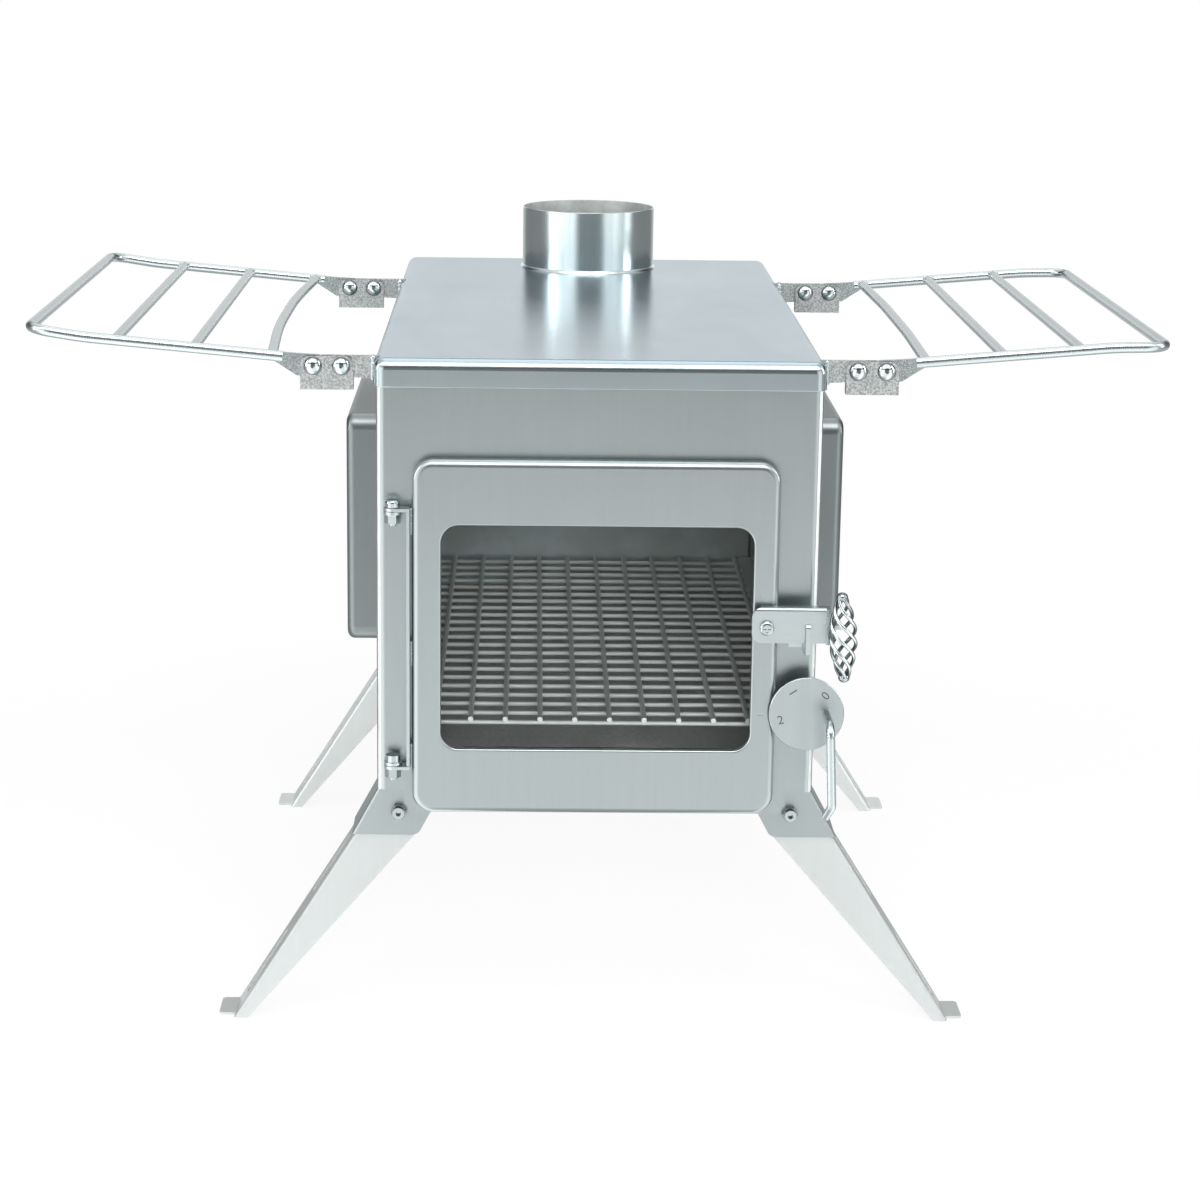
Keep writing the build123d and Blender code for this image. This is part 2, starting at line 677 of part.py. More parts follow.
outer_top, inner_top = beside(outer_offset, outer_angle), beside(-inner_offset, inner_angle)
foot_outer = along(outer_top, outer_angle, stand_height)
foot_inner = along(inner_top, inner_angle, stand_height)
fold = sheet / cos(radians(outer_angle))


def seen(side, points):
    """Points given as (outward, drop), as seen from the front on one side."""
    return [(side * out, -drop) for out, drop in points]


def leg(side, depth):
    """One leg: depth is where the front face of its plate lies."""
    with BuildPart() as made:
        with BuildSketch(facing(depth + sheet)):
            Polygon(*seen(side, [foot_inner, foot_outer, outer_top, (leg_x, leg_drop), inner_top]), align=None)
            with Locations((side * leg_x, -leg_drop)):
                Circle(head_radius)
        extrude(amount=sheet)
        with BuildSketch(facing(depth + leg_flange)):
            lip = [outer_top, foot_outer, (foot_outer[0] - fold, foot_outer[1]), (outer_top[0] - fold, outer_top[1])]
            Polygon(*seen(side, lip), align=None)
        extrude(amount=leg_flange)
        bend_middle = Vector(
            side * (outer_top[0] + foot_outer[0]) / 2, front_y + depth, level((outer_top[1] + foot_outer[1]) / 2)
        )
        fillet(made.edges().sort_by_distance(bend_middle)[0], leg_bend)
        for high, low in slot_spans:
            centre = along(outer_top, outer_angle, (high + low) / 2)
            slot_plane = Plane(
                origin=(side * centre[0], front_y + depth + leg_flange / 2 + 1.5, level(centre[1])),
                x_dir=(side * sin(radians(outer_angle)), 0, -cos(radians(outer_angle))),
                z_dir=(side * cos(radians(outer_angle)), 0, sin(radians(outer_angle))),
            )
            with BuildSketch(slot_plane):
                SlotOverall((low - high) / cos(radians(outer_angle)), slot_width)
            extrude(amount=2 * sheet, both=True, mode=Mode.SUBTRACT)
        with BuildSketch(Plane.XY):
            tab_depths = (depth + tab_setback, depth + leg_flange)
            with Locations((side * (foot_outer[0] + tab_width / 2 - 1), front_y + sum(tab_depths) / 2)):
                Rectangle(tab_width + 1, tab_depths[1] - tab_depths[0])
        extrude(amount=sheet)
        tab_corners = made.edges().filter_by(Axis.Z).filter_by(
            lambda edge: abs(edge.center().X) > foot_outer[0] + tab_width - 1.2
        )
        fillet(tab_corners, 2.5)
        with BuildSketch(facing(depth + 2 * sheet)):
            with Locations((side * leg_x, -leg_drop)):
                Circle(leg_hole + running)
        extrude(amount=3 * sheet, mode=Mode.SUBTRACT)
    return made.part


# Leg brackets: a plate behind the front skirt with a flange that the leg folds out against
bracket_gap, bracket_angle, bracket_inner_angle = 0.1, 28.6, 28
bracket_foot, bracket_foot_x, bracket_inner_x = 277.5, 140.2, 102
wall_clear_x = 120.3
wall_foot = wall_drop + bracket_gap
bracket_outer = (bracket_foot_x - (bracket_foot - wall_foot) * tan(radians(bracket_angle)), wall_foot)
bracket_inner = (bracket_inner_x - (bracket_foot - floor_drop) * tan(radians(bracket_inner_angle)), floor_drop)
bracket_fold = sheet / cos(radians(bracket_angle))


def leg_bracket(side, depth):
    """One bracket: depth is where the front face of the leg's plate lies."""
    face = depth - bracket_gap - sheet
    with BuildPart() as made:
        with BuildSketch(facing(face + sheet)) as plate:
            outline = [
                bracket_inner,
                (wall_clear_x, floor_drop),
                (wall_clear_x, wall_foot),
                bracket_outer,
                (bracket_foot_x, bracket_foot),
                (bracket_inner_x, bracket_foot),
            ]
            Polygon(*seen(side, outline), align=None)
            fillet(plate.vertices().sort_by_distance((side * bracket_inner_x, -bracket_foot))[0], 5)
            with Locations((side * leg_x, -leg_drop)):
                Circle(leg_hole + running / 2, mode=Mode.SUBTRACT)
        extrude(amount=sheet)
        with BuildSketch(facing(face + bracket_flange)):
            lip = [
                bracket_outer,
                (bracket_foot_x, bracket_foot),
                (bracket_foot_x - bracket_fold, bracket_foot),
                (bracket_outer[0] - bracket_fold, wall_foot),
            ]
            Polygon(*seen(side, lip), align=None)
        extrude(amount=bracket_flange)
        bend_middle = Vector(
            side * (bracket_outer[0] + bracket_foot_x) / 2, front_y + face, level((wall_foot + bracket_foot) / 2)
        )
        fillet(made.edges().sort_by_distance(bend_middle)[0], leg_bend)
        with BuildSketch(facing(face + bracket_flange)):
            ledge = [
                (leg_x, floor_drop),
                (wall_clear_x, floor_drop),
                (wall_clear_x, floor_drop + sheet),
                (leg_x, floor_drop + sheet),
            ]
            Polygon(*seen(side, ledge), align=None)
        extrude(amount=bracket_flange)
    return made.part


end_words, side_words = ("front", "rear"), ((-1, "left"), (1, "right"))
for depth, end_word in zip(leg_depths, end_words):
    for side, side_word in side_words:
        save(leg(side, depth), f"leg_{end_word}_{side_word}")
        save(leg_bracket(side, depth), f"leg_bracket_{end_word}_{side_word}")

nut_back, nut_front, tip_front, head_back = 1.7, 5.7, 8.1, 4.6
with BuildPart() as leg_bolts:
    for depth in leg_depths:
        with BuildSketch(facing(depth + head_back)):
            with Locations((-leg_x, -leg_drop), (leg_x, -leg_drop)):
                Circle(leg_hole)
        extrude(amount=tip_front + head_back)
        with BuildSketch(facing(depth + head_back)):
            with Locations((-leg_x, -leg_drop), (leg_x, -leg_drop)):
                Circle(4.5)
        extrude(amount=head_back - sheet - 2 * running)
        with BuildSketch(facing(depth - nut_front - weld_gap)):
            with Locations((-leg_x, -leg_drop), (leg_x, -leg_drop)):
                Circle(3.4)
        extrude(amount=tip_front - nut_front - weld_gap)
        with BuildSketch(facing(depth - tip_front + 3)):
            with Locations((-leg_x, -leg_drop), (leg_x, -leg_drop)):
                Circle(1.6)
        extrude(amount=3, mode=Mode.SUBTRACT)
save(leg_bolts.part, "leg_bolts")

with BuildPart() as leg_nuts:
    for depth in leg_depths:
        with BuildSketch(facing(depth - nut_back)):
            with Locations((-leg_x, -leg_drop), (leg_x, -leg_drop)):
                RegularPolygon(4, 6, major_radius=False)
                Circle(leg_hole + running / 2, mode=Mode.SUBTRACT)
        extrude(amount=nut_front - nut_back)
save(leg_nuts.part, "leg_nuts")

# Side racks: a rod loop with cross bars, whose flattened ends hang on channel links. Square lower
# corners on the ears and rod ends meet in each link and stop it from dropping below level.
ear_half, end_reach, rack_plate = 5.8, 7.85, 3
link_wall, link_gap, rivet_radius = 1.8, 0.3, 2.5
link_half = rack_plate / 2 + link_gap + link_wall
link_top, link_foot, link_margin = 0.7, 19.5, 7
rod_rise, rod_start = 3.2, 17
sag_start, rail_sag, sag_bend, rack_corner = 130, 2, 200, 12
bar_first, bar_pitch, bar_count = 23, 44, 3
bow = {"left": 5.5, "right": 2.5}
bow_span, bow_bend = 110, 1500

with BuildPart() as rack_ears:
    for side, side_word in side_words:
        for depth in rail_depths:
            with BuildSketch(facing(depth + rack_plate / 2)) as ear:
                far = inner_rivet_x + end_reach
                outline = [
                    (top_width / 2 - 4, rivet_drop - ear_half),
                    (far, rivet_drop - ear_half),
                    (far, rivet_drop + ear_half),
                    (top_width / 2 - 4, rivet_drop + ear_half + 1.5),
                ]
                Polygon(*seen(side, outline), align=None)
                fillet(ear.vertices().sort_by_distance((side * far, ear_half - rivet_drop))[0], 5.5)
                with Locations((side * inner_rivet_x, -rivet_drop)):
                    Circle(rivet_radius + running / 2, mode=Mode.SUBTRACT)
            extrude(amount=rack_plate)
    add(lid_envelope.part, mode=Mode.SUBTRACT)
save(rack_ears.part, "rack_ears")


dome_radius, dome_high = 5.25, 3
dome_ball = (dome_radius**2 + dome_high**2) / (2 * dome_high)
dome_turn = asin(dome_radius / dome_ball) / 2
dome_middle = (dome_ball * sin(dome_turn), dome_ball - dome_high - dome_ball * cos(dome_turn))


def rivets(centres):
    """Domed rivets through the links, at the given distances from the middle."""
    shank = link_half + 0.1
    with BuildPart() as made:
        for depth in rail_depths:
            places = [(centre, -rivet_drop) for centre in centres]
            with BuildSketch(facing(depth + shank)):
                with Locations(*places):
                    Circle(rivet_radius)
            extrude(amount=2 * shank)
            for centre in centres:
                foot = Vector(centre, front_y + depth - shank, level(rivet_drop))
                with BuildSketch(Plane(origin=foot, x_dir=(1, 0, 0), z_dir=(0, 0, 1))):
                    with BuildLine():
                        ThreePointArc((dome_radius, 0), dome_middle, (0, -dome_high))
                        Polyline((0, -dome_high), (0, 0), (dome_radius, 0))
                    make_face()
                revolve(axis=Axis(foot, (0, 1, 0)))
            with BuildSketch(facing(depth + shank + 1.6)):
                with Locations(*places):
                    Circle(4)
            extrude(amount=1.6)
    return made.part


save(rivets((-inner_rivet_x, inner_rivet_x)), "rack_inner_rivets")

link_left = inner_rivet_x - link_margin + 0.3
link_right = outer_rivet_x + link_margin + 0.2
for side, side_word in side_words:
    save(rivets((side * outer_rivet_x,)), f"rack_outer_rivets_{side_word}")

    with BuildPart() as rack_links:
        for depth in rail_depths:
            with BuildSketch(facing(depth + link_half)) as link:
                outline = [(link_left, link_top), (link_right, link_top), (link_right, link_foot), (link_left, link_foot)]
                Polygon(*seen(side, outline), align=None)
                fillet(link.vertices().group_by(Axis.Y)[-1], 5)
                with Locations((side * inner_rivet_x, -rivet_drop), (side * outer_rivet_x, -rivet_drop)):
                    Circle(rivet_radius + running, mode=Mode.SUBTRACT)
            extrude(amount=2 * link_half)
        for depth in rail_depths:
            with BuildSketch(facing(depth + rack_plate / 2 + link_gap)):
                with Locations((side * (link_left + link_right) / 2, -(link_foot - link_wall) / 2)):
                    Rectangle(link_right - link_left + 2, link_foot - link_wall)
            extrude(amount=rack_plate + 2 * link_gap, mode=Mode.SUBTRACT)
    save(rack_links.part, f"rack_links_{side_word}")

    tilt = radians(rack_tilt)
    rack_plane = Plane(
        origin=(side * outer_rivet_x, front_y, level(rivet_drop) + rod_rise),
        x_dir=(side * cos(tilt), 0, sin(tilt)),
        z_dir=(-sin(tilt), 0, side * cos(tilt)),
    )
    with BuildPart() as rack_frame:
        near, far = rail_depths
        with BuildLine(rack_plane) as loop:
            stations = [(rod_start, near, 0), (sag_start, near, 0), (rack_reach, near, -rail_sag)]
            stations += [(out, far, rise) for out, depth, rise in reversed(stations)]
            FilletPolyline(*stations, radius=(sag_bend, rack_corner, rack_corner, sag_bend))
        with BuildSketch(Plane(origin=loop.line @ 0, z_dir=loop.line % 0)):
            Circle(rack_bar / 2)
        sweep(path=loop.line)
        for depth in rail_depths:
            with BuildSketch(facing(depth + rack_plate / 2)) as flat_end:
                outline = [
                    (outer_rivet_x - end_reach, rivet_drop - ear_half),
                    (outer_rivet_x + 9, rivet_drop - ear_half - 0.8),
                    (outer_rivet_x + 22, rivet_drop - 7.6),
                    (outer_rivet_x + 22, rivet_drop - 2.6),
                    (outer_rivet_x + 9, rivet_drop + ear_half),
                    (outer_rivet_x - end_reach, rivet_drop + ear_half),
                ]
                Polygon(*seen(side, outline), align=None)
                inner_corner = (side * (outer_rivet_x - end_reach), ear_half - rivet_drop)
                fillet(flat_end.vertices().sort_by_distance(inner_corner)[0], 5.5)
                with Locations((side * outer_rivet_x, -rivet_drop)):
                    Circle(rivet_radius + running / 2, mode=Mode.SUBTRACT)
            extrude(amount=rack_plate)
    save(rack_frame.part, f"rack_frame_{side_word}")

    with BuildPart() as rack_bars:
        for index in range(bar_count):
            out = bar_first + bar_pitch * index
            with BuildLine(rack_plane) as cross_bar:
                if index == 0:
                    bowed = out + bow[side_word]
                    stations = ((out, near), (bowed, near + bow_span), (bowed, far - bow_span), (out, far))
                    FilletPolyline(*stations, radius=bow_bend)
                else:
                    Line((out, near), (out, far))
            with BuildSketch(Plane(origin=cross_bar.line @ 0, z_dir=cross_bar.line % 0)):
                Circle(rack_bar / 2 - 0.1)
            sweep(path=cross_bar.line)
        for depth in rail_depths:
            rail_start = rack_plane.from_local_coords(Vector(0, depth, 0))
            with BuildSketch(Plane(origin=rail_start, z_dir=rack_plane.x_dir)):
                Circle(rack_bar / 2 + cope_gap)
            extrude(amount=rack_reach, mode=Mode.SUBTRACT)
    save(rack_bars.part, f"rack_bars_{side_word}")
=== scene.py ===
import math

import bmesh
import bpy
from mathutils import Matrix, Vector


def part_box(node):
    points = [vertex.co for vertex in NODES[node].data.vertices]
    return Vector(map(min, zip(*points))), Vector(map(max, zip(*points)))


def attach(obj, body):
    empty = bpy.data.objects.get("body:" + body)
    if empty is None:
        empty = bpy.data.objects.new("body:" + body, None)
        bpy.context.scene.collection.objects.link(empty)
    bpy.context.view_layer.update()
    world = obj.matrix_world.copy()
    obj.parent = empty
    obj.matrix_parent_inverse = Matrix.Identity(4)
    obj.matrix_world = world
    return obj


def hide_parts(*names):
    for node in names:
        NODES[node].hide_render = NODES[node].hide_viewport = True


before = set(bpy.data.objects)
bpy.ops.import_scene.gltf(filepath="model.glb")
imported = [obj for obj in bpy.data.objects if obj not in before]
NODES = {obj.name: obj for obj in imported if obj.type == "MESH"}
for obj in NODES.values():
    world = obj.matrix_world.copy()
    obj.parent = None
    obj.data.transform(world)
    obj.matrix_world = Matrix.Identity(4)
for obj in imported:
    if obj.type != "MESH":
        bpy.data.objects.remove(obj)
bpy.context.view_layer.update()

bl_info = {
    "name": "Tent wood stove",
    "version": (1, 0, 0),
    "blender": (4, 5, 0),
    "location": "View3D > Sidebar > Stove",
    "description": "Dresses the packed stove with its finishes, wires, welds, numbers and studio",
    "category": "Object",
}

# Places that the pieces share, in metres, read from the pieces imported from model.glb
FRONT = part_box("firebox_shell")[0].y
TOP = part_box("top_plate")[1].z
COLLAR_LOW, COLLAR_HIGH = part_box("flue_collar")
COLLAR_MID = (COLLAR_LOW + COLLAR_HIGH) / 2
DIAL_LOW, DIAL_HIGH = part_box("air_dial")
DIAL_MID = (DIAL_LOW + DIAL_HIGH) / 2


def at(x, ahead, drop):
    """A place in millimetres: from the middle, ahead of the front wall and below the top plate."""
    return Vector((x / 1000, FRONT - ahead / 1000, TOP - drop / 1000))


# Sizes that model.glb doesn't state, in metres
SHEET = 0.0015
# Below the top, where the pan's bent rim ends and its flat begins
RIM_BEND, RIM_FLAT = 0.003, 0.0005
# Radii on either side of the middle of the collar's wall
COLLAR_SKINS = (0.0449, 0.0447)
# From the stove's middle to between two rivets, from there to each, and from the top to their axes
RIVET_PAIR, RIVET_HALF_PITCH, RIVET_DROP = 0.15315, 0.00795, 0.0062
# From a rivet's axis to where the darkening starts and where it is darkest
DOME_DIM_START, DOME_FOOT = 0.0036, 0.0051
# From the stove's middle to where a rack rod's end is hammered flat and where it is round again
ROD_FLAT, ROD_ROUND = 0.174, 0.180
# From the front wall to the handle's axis, and from the axis to where the painted shade on its
# wires starts and where it is darkest
COIL_AHEAD, COIL_SHADE_START, COIL_SHADE_FULL = 0.030, -0.0052, -0.0008
# Behind the stove's middle, where painted light makes the legs palest; towards the front they carry
# painted shade
LEG_REAR = 0.2


# Node trees


class Signal:
    """A socket that carries one number; arithmetic on it adds Math nodes."""

    def __init__(self, tree, socket):
        self.tree = tree
        self.socket = socket

    def math(self, operation, *values):
        node = self.tree.nodes.new("ShaderNodeMath")
        node.operation = operation
        for index, value in enumerate(values):
            if isinstance(value, Signal):
                self.tree.links.new(value.socket, node.inputs[index])
            else:
                node.inputs[index].default_value = value
        return Signal(self.tree, node.outputs[0])

    def __add__(self, other):
        return self.math("ADD", self, other)

    __radd__ = __add__

    def __sub__(self, other):
        return self.math("SUBTRACT", self, other)

    def __rsub__(self, other):
        return self.math("SUBTRACT", other, self)

    def __mul__(self, other):
        return self.math("MULTIPLY", self, other)

    __rmul__ = __mul__

    def __truediv__(self, other):
        return self.math("DIVIDE", self, other)

    def __pow__(self, power):
        return self.math("POWER", self, power)

    def __neg__(self):
        return self.math("SUBTRACT", 0.0, self)

    def __abs__(self):
        return self.math("ABSOLUTE", self)

    def __gt__(self, limit):
        return self.math("GREATER_THAN", self, limit)

    def __lt__(self, limit):
        return self.math("LESS_THAN", self, limit)

    def most(self, other):
        return self.math("MAXIMUM", self, other)

    def sine(self):
        return self.math("SINE", self)

    def cosine(self):
        return self.math("COSINE", self)


class NodeTree:
    """Adds nodes to a tree, and fills or links their sockets."""

    def __init__(self, tree):
        self.tree = tree

    def feed(self, socket, value):
        """Links a socket or a signal into a socket, or sets its value."""
        if isinstance(value, Signal):
            value = value.socket
        if isinstance(value, bpy.types.NodeSocket):
            self.tree.links.new(value, socket)
        elif isinstance(value, tuple) and socket.type == "VECTOR":
            socket.default_value = value[:3]
        else:
            socket.default_value = value

    def add(self, kind, settings=None, inputs=None, out=0):
        """Adds a node, sets its settings, then fills or links its sockets."""
        node = self.tree.nodes.new(kind)
        for name, value in (settings or {}).items():
            setattr(node, name, value)
        for name, value in (inputs or {}).items():
            self.feed(node.inputs[name], value)
        return node.outputs[out]

    def number(self, kind, settings=None, inputs=None, out=0):
        return Signal(self.tree, self.add(kind, settings, inputs, out))

    def split(self, vector):
        """The three parts of a vector."""
        node = self.add("ShaderNodeSeparateXYZ", {}, {0: vector}).node
        return [Signal(self.tree, node.outputs[index]) for index in range(3)]

    def steps(self, value, low, high, start=0.0, end=1.0, smooth=True):
        """Maps a value from low..high to start..end."""
        return self.number(
            "ShaderNodeMapRange",
            {"interpolation_type": "SMOOTHSTEP" if smooth else "LINEAR"},
            {"Value": value, "From Min": low, "From Max": high, "To Min": start, "To Max": end},
        )

    def window(self, value, start, full, fade, end):
        """Climbs from 0 to 1 between start and full, and falls back between fade and end."""
        return self.steps(value, start, full) * (1.0 - self.steps(value, fade, end))

    def rays(self, *kinds):
        """A signal for each kind of ray, which is 1 for rays of that kind."""
        node = self.add("ShaderNodeLightPath").node
        return [Signal(self.tree, node.outputs[f"Is {kind} Ray"]) for kind in kinds]


class Finish(NodeTree):
    """A material's node tree round one Principled shader."""

    def __init__(self, name, metallic=1.0, roughness=0.35):
        self.material = bpy.data.materials.new(name)
        self.material.use_nodes = True
        super().__init__(self.material.node_tree)
        self.tree.nodes.clear()
        self.output = self.tree.nodes.new("ShaderNodeOutputMaterial")
        self.shader = self.tree.nodes.new("ShaderNodeBsdfPrincipled")
        self.tree.links.new(self.shader.outputs[0], self.output.inputs["Surface"])
        self.send(Metallic=metallic, Roughness=roughness)
        self.place = self.add("ShaderNodeTexCoord", out="Object")

    def axes(self):
        """The three object coordinates, in metres."""
        return self.split(self.place)

    def stretched(self, scale, turn=(0.0, 0.0, 0.0)):
        """The object coordinates, turned and scaled along each axis."""
        return self.add(
            "ShaderNodeMapping", {}, {"Vector": self.place, "Scale": scale, "Rotation": turn}
        )

    def noise(self, scale, detail=3.0, roughness=0.55, vector=None, distortion=0.0):
        return self.number(
            "ShaderNodeTexNoise",
            {},
            {
                "Vector": vector or self.place,
                "Scale": scale,
                "Detail": detail,
                "Roughness": roughness,
                "Distortion": distortion,
            },
        )

    def blend(self, factor, first, second):
        """Mixes two colours; each may be a tuple or a socket."""
        return self.add("ShaderNodeMix", {"data_type": "RGBA"}, {0: factor, 6: first, 7: second}, 2)

    def shade(self, colour, value):
        """Multiplies a colour by a number."""
        return self.add("ShaderNodeVectorMath", {"operation": "SCALE"}, {0: colour, "Scale": value})

    def send(self, **sockets):
        """Feeds the shader's sockets, with an underscore for each space in their names."""
        for name, value in sockets.items():
            self.feed(self.shader.inputs[name.replace("_", " ")], value)

    def now(self, name):
        """What feeds one of the shader's sockets so far."""
        return self.shader.inputs[name].links[0].from_socket

    def toned(self, factor):
        """Multiplies the base colour so far by a number."""
        self.send(Base_Color=self.shade(self.now("Base Color"), factor))
        return self

    def lined(self, inside, colour, roughness):
        """Gives a sheet's inner side its own colour and roughness, and less of a metal's shine."""
        rough = Signal(self.tree, self.now("Roughness"))
        self.send(
            Metallic=1.0 - inside * 0.7,
            Base_Color=self.blend(inside, self.now("Base Color"), colour),
            Roughness=rough * (1.0 - inside) + inside * roughness,
        )
        return self

    def cover(self, factor, first, second):
        """Mixes two shaders and puts the mix on the surface."""
        mixed = self.add("ShaderNodeMixShader", {}, {0: factor, 1: first, 2: second})
        self.tree.links.new(mixed, self.output.inputs["Surface"])

    def relief(self, height, distance):
        """Bumps that follow a signal; the distance is how high they stand, in metres."""
        return self.add(
            "ShaderNodeBump", {}, {"Height": height, "Distance": distance, "Strength": 1.0}
        )


def grey(value, tint=(1.0, 1.0, 1.0)):
    """A grey of one brightness, leaning towards a tint."""
    return tuple(value * part for part in tint) + (1.0,)


# Tints that a grey leans towards
COOL = (0.90, 1.0, 1.01)
BLUE = (0.80, 1.0, 1.12)
RIM = (0.87, 1.0, 1.03)
PALE = (0.95, 1.0, 0.995)
WARM = (0.97, 1.0, 0.94)
TAN = (1.0, 0.98, 0.91)


# Finishes


def brushed(
    name, tone, roughness, along, streak=0.05, cloud=0.10, tint=COOL, groove=0.000005, metallic=1.0
):
    """Brushed stainless: long fine streaks along one axis and soft clouding."""
    made = Finish(name, metallic=metallic, roughness=roughness)
    # Noise waves per metre: few along the brushing and many across it
    fine = tuple(26.0 if axis == along else 1500.0 for axis in "xyz")
    coarse = tuple(5.0 if axis == along else 260.0 for axis in "xyz")
    hair = made.noise(1.0, 2.0, 0.6, made.stretched(fine))
    band = made.noise(1.0, 3.0, 0.55, made.stretched(coarse))
    patch = made.noise(6.0, 4.0, 0.55)
    shine = 1.0 + (hair - 0.5) * streak + (band - 0.5) * streak * 1.2 + (patch - 0.5) * cloud
    made.send(
        Base_Color=made.shade(grey(tone, tint), shine),
        Roughness=roughness + (hair - 0.5) * 0.08 + (patch - 0.5) * 0.14,
        Normal=made.relief(hair * 0.7 + band * 0.3, groove),
    )
    return made


def top_finish(name):
    """The pan's top: a fine rolled satin that mirrors the collar softly."""
    made = Finish(name, roughness=0.24)
    hair = made.noise(1.0, 2.0, 0.6, made.stretched((900.0, 45.0, 900.0)))
    speck = made.noise(1400.0, 2.0)
    patch = made.noise(7.0, 4.0, 0.6)
    smear = made.noise(1.0, 3.0, 0.6, made.stretched((16.0, 5.0, 16.0), (0.0, 0.0, 0.5)), 0.6)
    shine = 1.0 + (hair - 0.5) * 0.05 + (patch - 0.5) * 0.07
    flat = made.steps(made.axes()[2], TOP - RIM_BEND, TOP - RIM_FLAT)
    made.send(
        Base_Color=made.shade(made.blend(flat, grey(0.59, RIM), grey(0.585, BLUE)), shine),
        Roughness=0.24 + (patch - 0.5) * 0.12 + (smear - 0.5) * 0.10 + (speck - 0.5) * 0.05,
        Normal=made.relief(hair * 0.4 + speck * 0.6, 0.000006),
    )
    return made


def shell_finish(name):
    """The firebox walls: brushed upright outside, duller and hazed inside."""
    made = brushed(name, 0.49, 0.33, "z")
    x, y, z = made.axes()
    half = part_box("firebox_shell")[1].x
    rear = sum(corner.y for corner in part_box("back_wall")) / 2
    inside = (abs(x) < half - SHEET * 0.5) * (y > FRONT + SHEET * 0.5) * (y < rear)
    soot = made.noise(14.0, 5.0, 0.65)
    haze = made.blend(made.steps(soot, 0.35, 0.7), grey(0.55, WARM), grey(0.75, COOL))
    return made.lined(inside, haze, 0.42 + soot * 0.2)


def soot_finish(name):
    """Firebox floor: dull stainless with a thin drift of pale ash."""
    made = Finish(name)
    drift = made.noise(11.0, 6.0, 0.65)
    grit = made.noise(380.0, 3.0)
    cover = made.steps(drift + (grit - 0.5) * 0.25, 0.48, 0.72)
    dark = made.shade(grey(0.50, (1.0, 0.97, 0.92)), 0.7 + grit * 0.6)
    pale = made.shade(grey(0.62, (1.0, 0.97, 0.93)), 0.75 + grit * 0.5)
    made.send(
        Base_Color=made.blend(cover, dark, pale),
        Metallic=0.3 * (1.0 - cover),
        Roughness=0.5 + cover * 0.4,
        Normal=made.relief(grit * cover + drift * 0.4, 0.0006),
    )
    return made


def collar_finish(name):
    """Flue collar: upright brushing outside, mottled and duller inside the tube."""
    made = brushed(name, 0.88, 0.20, "z", streak=0.16, cloud=0.05, groove=0.00001)
    x, y, z = made.axes()
    reach = ((x - COLLAR_MID.x) ** 2.0 + (y - COLLAR_MID.y) ** 2.0) ** 0.5
    soot = made.noise(26.0, 5.0, 0.6)
    haze = made.blend(made.steps(soot, 0.3, 0.7), grey(0.32, WARM), grey(0.62, COOL))
    return made.lined(made.steps(reach, *COLLAR_SKINS), haze, 0.5)


def wire_finish(name, tone=0.66, roughness=0.27, grain=900.0, metallic=1.0, tint=COOL):
    """Drawn wire with a satin skin and small tumbling marks."""
    made = Finish(name, metallic=metallic, roughness=roughness)
    speck = made.noise(grain, 3.0)
    patch = made.noise(45.0, 4.0, 0.6)
    made.send(
        Base_Color=made.shade(grey(tone, tint), 0.95 + speck * 0.04 + patch * 0.06),
        Roughness=roughness + (speck - 0.5) * 0.06 + (patch - 0.5) * 0.08,
        Normal=made.relief(speck * 0.6 + patch * 0.4, 0.000001),
    )
    return made


def grain_finish(name):
    """Coarse blasted or cast-looking stainless with sparkling grains."""
    made = Finish(name)
    cells = {"Vector": made.place, "Scale": 760.0}
    pit = made.number("ShaderNodeTexVoronoi", {"feature": "F1"}, cells, "Distance")
    speck = made.noise(950.0, 2.0, 0.7)
    patch = made.noise(70.0, 4.0)
    grain = made.steps(speck * 0.7 + pit * 0.3, 0.34, 0.64, 0.60, 1.12)
    made.send(
        Base_Color=made.shade(grey(0.74, PALE), grain + (patch - 0.5) * 0.2),
        Roughness=0.30 + speck * 0.16,
        Normal=made.relief(pit * 0.5 + speck * 0.5, 0.00006),
    )
    return made


def bright_finish(name, tone=0.72, roughness=0.12):
    """Polished stainless with fine handling scratches."""
    made = Finish(name, roughness=roughness)
    scratch = made.noise(1.0, 2.0, 0.6, made.stretched((2400.0, 500.0, 300.0), (0.3, 0.5, 0.7)))
    patch = made.noise(120.0, 3.0)
    made.send(
        Base_Color=made.shade(grey(tone, COOL), 0.94 + patch * 0.12),
        Roughness=roughness + (scratch - 0.5) * 0.12 + (patch - 0.5) * 0.08,
        Normal=made.relief(scratch * 0.5 + patch * 0.5, 0.00001),
    )
    return made


def rod_finish(name):
    """Rack rods: satin, and grainy where their ends are hammered flat beside the links."""
    made = wire_finish(name)
    x = made.axes()[0]
    grain = made.steps(made.noise(950.0, 2.0, 0.7), 0.36, 0.64, 0.72, 1.14)
    flat = made.steps(abs(x), ROD_ROUND, ROD_FLAT)
    return made.toned(1.0 - flat + flat * grain)


def rivet_finish(name):
    """Domed rivet heads: polished, with the colour darkened towards the foot of each dome."""
    made = bright_finish(name)
    x, y, z = made.axes()
    beside = abs(abs(abs(x) - RIVET_PAIR) - RIVET_HALF_PITCH)
    below = z - (TOP - RIVET_DROP)
    reach = (beside * beside + below * below) ** 0.5
    # Darker from partway up each dome out to its foot and beyond
    return made.toned(made.steps(reach, DOME_DIM_START, DOME_FOOT, 1.0, 0.35))


def coil_finish(name):
    """The handle's wires: polished in front, with painted shade darkening the far side of the coil.
    """
    made = bright_finish(name, 0.80, 0.07)
    away = made.axes()[1] - (FRONT - COIL_AHEAD)
    # Painted shade: the wires' colour darkens towards the rear of the coil
    return made.toned(made.steps(away, COIL_SHADE_START, COIL_SHADE_FULL, 1.0, 0.22))


